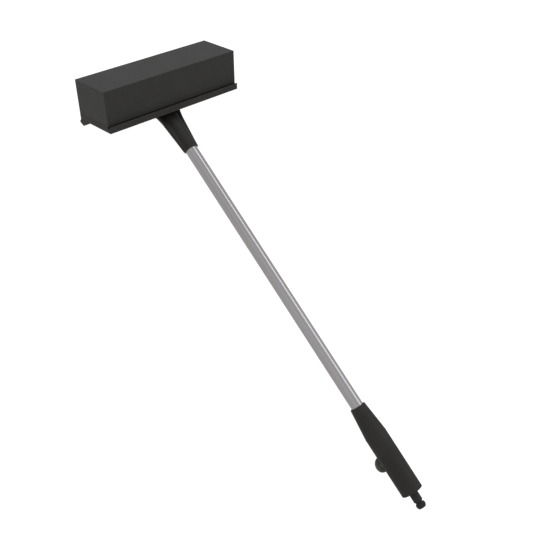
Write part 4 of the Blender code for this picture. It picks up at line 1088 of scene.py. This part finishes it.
class WASHER_OT_hose_nipple(Operator):
    """Make the grooved hose nipple and the seal ring in its head"""

    bl_idname = "washer.hose_nipple"
    bl_label = "Hose nipple"

    def execute(self, context):
        low, high = corners_in("hose_nipple", POLE)
        seal_low, seal_high = corners_in("nipple_seal", POLE)
        end = corners_in("grip", POLE)[1].z
        flange_start = low.z + NIPPLE_SPIGOT
        flange_end = corners_in("grip_end_cap", POLE)[0].z - GAP
        groove_low, groove_high = seal_low.z - GAP, seal_high.z + GAP
        groove_floor, eased_head = NIPPLE_HEAD - NIPPLE_SEAL_DEPTH, NIPPLE_HEAD - NIPPLE_HEAD_EASE
        outline = filleted([
            (NIPPLE_INNER_BORE, low.z, BROKEN), (NIPPLE_SPIGOT_RADIUS, low.z, SOFT),
            (NIPPLE_SPIGOT_RADIUS, flange_start, 0), (high.x, flange_start, EASED),
            (high.x, flange_end, SOFT), (NIPPLE_BARREL, flange_end, 0),
            (NIPPLE_BARREL, end + NIPPLE_BARREL_END, EASED),
            (NIPPLE_NECK, end + NIPPLE_NECK_START, EASED),
            (NIPPLE_NECK, end + NIPPLE_NECK_END, EASED),
            (eased_head, end + NIPPLE_HEAD_START, EASED),
            (NIPPLE_HEAD, groove_low, BROKEN), (groove_floor, groove_low, CRISP),
            (groove_floor, groove_high, CRISP), (NIPPLE_HEAD, groove_high, BROKEN),
            (eased_head, groove_high + NIPPLE_NOSE, NIPPLE_NOSE_ROUND),
            (NIPPLE_TIP, high.z, ROUNDED), (NIPPLE_BORE, high.z, ROUNDED),
            (NIPPLE_BORE, flange_start, SOFT),
            (NIPPLE_INNER_BORE, flange_start - NIPPLE_FUNNEL, SOFT)])
        nipple = turned_piece("grooved_nipple", spaced(outline, NIPPLE_PITCH), POLE)
        settle(nipple, STILL_BODY, "black_plastic", "hose_nipple")

        minor = (seal_high.z - seal_low.z) / 2
        major = seal_high.x - minor
        middle = (seal_low.z + seal_high.z) / 2
        turns = [2 * pi * step / SEAL_STEPS for step in range(SEAL_STEPS)]
        ring = [(major + minor * cos(turn), middle + minor * sin(turn)) for turn in turns]
        seal = turned_piece("nipple_ring", ring, POLE)
        settle(seal, STILL_BODY, "black_rubber", "nipple_seal")
        return {"FINISHED"}


class WASHER_OT_valve_knob(Operator):
    """Make the valve's knob with its pointer, the spindle and the gland nut"""

    bl_idname = "washer.valve_knob"
    bl_label = "Valve knob"

    def execute(self, context):
        sizes = context.scene.washer_handle
        low, high = corners_in("valve_knob", VALVE)
        spindle_low, spindle_high = corners_in("valve_spindle", VALVE)
        face, back = low.z, low.z + KNOB_THICKNESS
        socket = spindle_high.x + GAP
        head = corners_in("knob_screw", VALVE)[1].x + GAP
        web = spindle_low.z - GAP
        floor = web - KNOB_WEB
        dish = face + sizes.knob_dish
        inner, outer = head + KNOB_LAND, high.x - KNOB_LAND
        outline = filleted([
            (head, face, EASED), (inner, face, EASED), (inner + KNOB_RING_SLOPE, dish, BROKEN),
            (outer - KNOB_RING_SLOPE, dish, BROKEN), (outer, face, EASED),
            (high.x, face, sizes.knob_edge), (high.x, back, sizes.knob_edge),
            (KNOB_HUB, back, KNOB_HUB_ROUND), (KNOB_HUB, high.z, ROUNDED),
            (socket, high.z, EASED), (socket, web, 0), (KNOB_SCREW_HOLE, web, 0),
            (KNOB_SCREW_HOLE, floor, 0), (head, floor, 0)])
        knob = turned_piece("turning_knob", outline, VALVE)
        pointer = soft_box_helper((-POINTER_HALF, inner + POINTER_INSET, face + POINTER_DROP),
                                  (POINTER_HALF, outer - POINTER_INSET, dish + POINTER_ROOT),
                                  BROKEN, POINTER_PITCH, VALVE)
        carved(knob, "UNION", [pointer])
        # partly painted light: the knob's lighter finish also stands in for light that the grip's
        # shade keeps off it
        settle(knob, TURNING_BODY, "black_plastic", "valve_knob", finish="knob_plastic")

        radius, hole_end = spindle_high.x, spindle_low.z + SPINDLE_HOLE_DEPTH
        outline = filleted([
            (0, SPINDLE_SHOULDER, 0), (radius, SPINDLE_SHOULDER, EASED),
            (radius, spindle_low.z, EASED), (KNOB_SCREW_HOLE, spindle_low.z, CRISP),
            (KNOB_SCREW_HOLE, hole_end, 0), (0, hole_end, 0)], closed=False)
        spindle = turned_piece("turning_spindle", outline, VALVE, SMALL_STEPS)
        tongue = soft_box_helper((-TONGUE_HALF, -TONGUE_REACH, SPINDLE_SHOULDER - TONGUE_ROOT),
                                 (TONGUE_HALF, TONGUE_REACH, spindle_high.z),
                                 BROKEN, TONGUE_PITCH, VALVE)
        carved(spindle, "UNION", [tongue])
        settle(spindle, TURNING_BODY, "valve_brass", "valve_spindle")

        nut_low, nut_high = corners_in("gland_nut", VALVE)
        thread = socket + GLAND_THREAD_WALL
        flange = nut_low.z + GLAND_FLANGE
        outline = filleted([
            (socket, nut_high.z, BROKEN), (thread, nut_high.z, EASED), (thread, flange, 0),
            (nut_high.x, flange, BROKEN), (nut_high.x, nut_low.z, GLAND_EDGE),
            (socket, nut_low.z, SOFT)])
        nut = turned_piece("hex_gland_nut", outline, VALVE)
        hexagon = turned_helper(pin(nut_high.x + GAP, nut_low.z - GAP, nut_high.z + GAP), [VALVE], 6)
        carved(nut, "INTERSECT", [hexagon])
        settle(nut, STILL_BODY, "valve_brass", "gland_nut")
        return {"FINISHED"}


def cross_screw(node, place, head_height, shank, body=STILL_BODY):
    """A screw whose head faces its place's +Z, as tall and as wide as the frame's."""
    low, high = corners_in(node, place)
    radius, top, seat = high.x, high.z, high.z - head_height
    outline = filleted([
        (0, top, 0), (radius * 0.55, top, radius * 0.9), (radius, top - head_height * 0.45, SOFT),
        (radius, seat, CRISP), (shank, seat, CRISP), (shank, low.z + SHANK_TIP, CRISP),
        (shank - SHANK_TIP, low.z, CRISP), (0, low.z, 0)], closed=False)
    screw = turned_piece("detailed_" + node, outline, place, SMALL_STEPS)
    reach, half, depth = radius * RECESS_REACH, radius * RECESS_HALF, top - head_height * RECESS_DEPTH
    slots = []
    for turn in (0, pi / 2):
        slot = bmesh.new()
        swing = Matrix.Rotation(turn, 4, "Z")
        box_into(slot, (-reach, -half, depth), (reach, half, top + GAP), swing)
        slots.append(helper(slot, place))
    carved(screw, "DIFFERENCE", slots)
    settle(screw, body, "screw_steel", node)


class WASHER_OT_screws(Operator):
    """Make the screws that show, with domed heads and cross recesses"""

    bl_idname = "washer.screws"
    bl_label = "Screws"

    def execute(self, context):
        over = Matrix.Rotation(pi, 4, "X")
        for nodes, head in ((BLOCK_SCREWS, BLOCK_SCREW_HEAD), (NECK_SCREWS, NECK_SCREW_HEAD)):
            for node in nodes:
                cross_screw(node, middle_of(node, HEAD) @ over, head, LARGE_SHANK)
        for node, place in side_screws():
            cross_screw(node, place, GRIP_SCREW_HEAD, SMALL_SHANK)
        place = radial(station_of("neck_tube_screw"))
        cross_screw("neck_tube_screw", place, SMALL_SCREW_HEAD, SMALL_SHANK)
        cross_screw("knob_screw", VALVE @ over, SMALL_SCREW_HEAD, SMALL_SHANK, TURNING_BODY)
        return {"FINISHED"}


class WASHER_OT_inner_parts(Operator):
    """Give every CAD part that still stands for itself its own finish"""

    bl_idname = "washer.inner_parts"
    bl_label = "Inner parts"

    def execute(self, context):
        for subpart in frame["record"]["subparts"]:
            part = cad_nodes[subpart["node"]]
            if not part.hide_render:
                part.data.materials.clear()
                part.data.materials.append(finish_for(subpart["material_slot"]))
        return {"FINISHED"}


# --- the stage ---
def aimed(item, place):
    """Put a lamp somewhere, shining at the middle of the washer."""
    item.location = place
    item.rotation_euler = (-Vector(place)).to_track_quat("-Z", "Y").to_euler()


def camera_place():
    """The camera's place: it looks along VIEW, and UPWARD is near the top of its picture."""
    view = Vector(VIEW).normalized()
    right = view.cross(Vector(UPWARD)).normalized()
    upward = right.cross(view)
    turn = Matrix((right, upward, -view)).transposed().to_4x4()
    return Matrix.Translation(CAMERA) @ turn


class WASHER_OT_stage(Operator):
    """Make the pale floor, the soft light and the camera"""

    bl_idname = "washer.stage"
    bl_label = "Stage"

    def execute(self, context):
        settings = context.scene.washer_stage
        colour = tuple(colours().floor)
        bm = bmesh.new()
        bmesh.ops.create_grid(bm, x_segments=24, y_segments=24, size=FLOOR_REACH)
        floor = raw_object("floor", bm, at(0, 0, FLOOR_LEVEL))
        recipe = Recipe("floor_paper", Specular_IOR_Level=0.1, Emission_Color=(*FLOOR_GLOW, 1.0),
                        Emission_Strength=settings.floor_glow)
        fibres = recipe.cloud(recipe.spot(), 60.0, 4.0, 0.6)
        paper = recipe.mixed(fibres, scaled(colour, 0.99), colour)
        rough = recipe.ramp(fibres, 0.2, 0.8, 0.85, 0.95)
        floor.data.materials.append(recipe.paint(paper, rough))
        floor.visible_glossy = False

        world = bpy.data.worlds.new("studio")
        world.use_nodes = True
        background = world.node_tree.nodes["Background"]
        background.inputs["Color"].default_value = (*SKY_COLOUR, 1.0)
        background.inputs["Strength"].default_value = settings.sky
        context.scene.world = world

        sun = bpy.data.lights.new("soft_key", "SUN")
        sun.energy = settings.key
        sun.angle = KEY_SPREAD
        sun.color = KEY_COLOUR
        key = linked("soft_key", sun)
        aimed(key, KEY_FROM)
        key.visible_glossy = False

        for name, direction, width, share in STRIPS:
            lamp = bpy.data.lights.new(name, "AREA")
            lamp.shape = "RECTANGLE"
            lamp.size, lamp.size_y = STRIP_LENGTH, width
            lamp.energy = settings.strip * share
            strip = linked(name, lamp)
            aimed(strip, Vector(direction) * STRIP_DISTANCE)
            strip.visible_diffuse = False
            strip.visible_camera = False

        lens = bpy.data.cameras.new("camera")
        lens.lens = LENS
        lens.clip_end = VIEW_END
        camera = linked("camera", lens)
        camera.matrix_world = camera_place()
        context.scene.camera = camera
        context.scene.view_settings.view_transform = "Standard"
        return {"FINISHED"}


# --- the add-on ---
OPERATORS = (WASHER_OT_foam_block, WASHER_OT_head_plate, WASHER_OT_blade_rail, WASHER_OT_neck,
             WASHER_OT_pole_tube, WASHER_OT_grip, WASHER_OT_hose_nipple, WASHER_OT_valve_knob,
             WASHER_OT_screws, WASHER_OT_inner_parts, WASHER_OT_stage)
SETTINGS = {"washer_head": HeadSettings, "washer_neck": NeckSettings,
            "washer_handle": HandleSettings, "washer_colours": ColourSettings,
            "washer_stage": StageSettings}


class WASHER_PT_panel(Panel):
    """Buttons that make the washer's pieces"""

    bl_label = "Window Washing Head"
    bl_space_type = "VIEW_3D"
    bl_region_type = "UI"
    bl_category = "Washer"

    def draw(self, context):
        for settings in SETTINGS:
            group = getattr(context.scene, settings)
            for name in group.__annotations__:
                self.layout.prop(group, name)
        for operator in OPERATORS:
            self.layout.operator(operator.bl_idname)


CLASSES = (*SETTINGS.values(), *OPERATORS, WASHER_PT_panel)


def register():
    for item in CLASSES:
        bpy.utils.register_class(item)
    for name, group in SETTINGS.items():
        setattr(bpy.types.Scene, name, PointerProperty(type=group))


def unregister():
    for name in SETTINGS:
        delattr(bpy.types.Scene, name)
    for item in reversed(CLASSES):
        bpy.utils.unregister_class(item)


def main():
    for item in list(bpy.data.objects):
        if item.type in {"CAMERA", "LIGHT"} or item.name == "Cube":
            bpy.data.objects.remove(item, do_unlink=True)
    register()
    for operator in OPERATORS:
        group, name = operator.bl_idname.split(".")
        getattr(getattr(bpy.ops, group), name)()


if __name__ == "__main__":
    main()
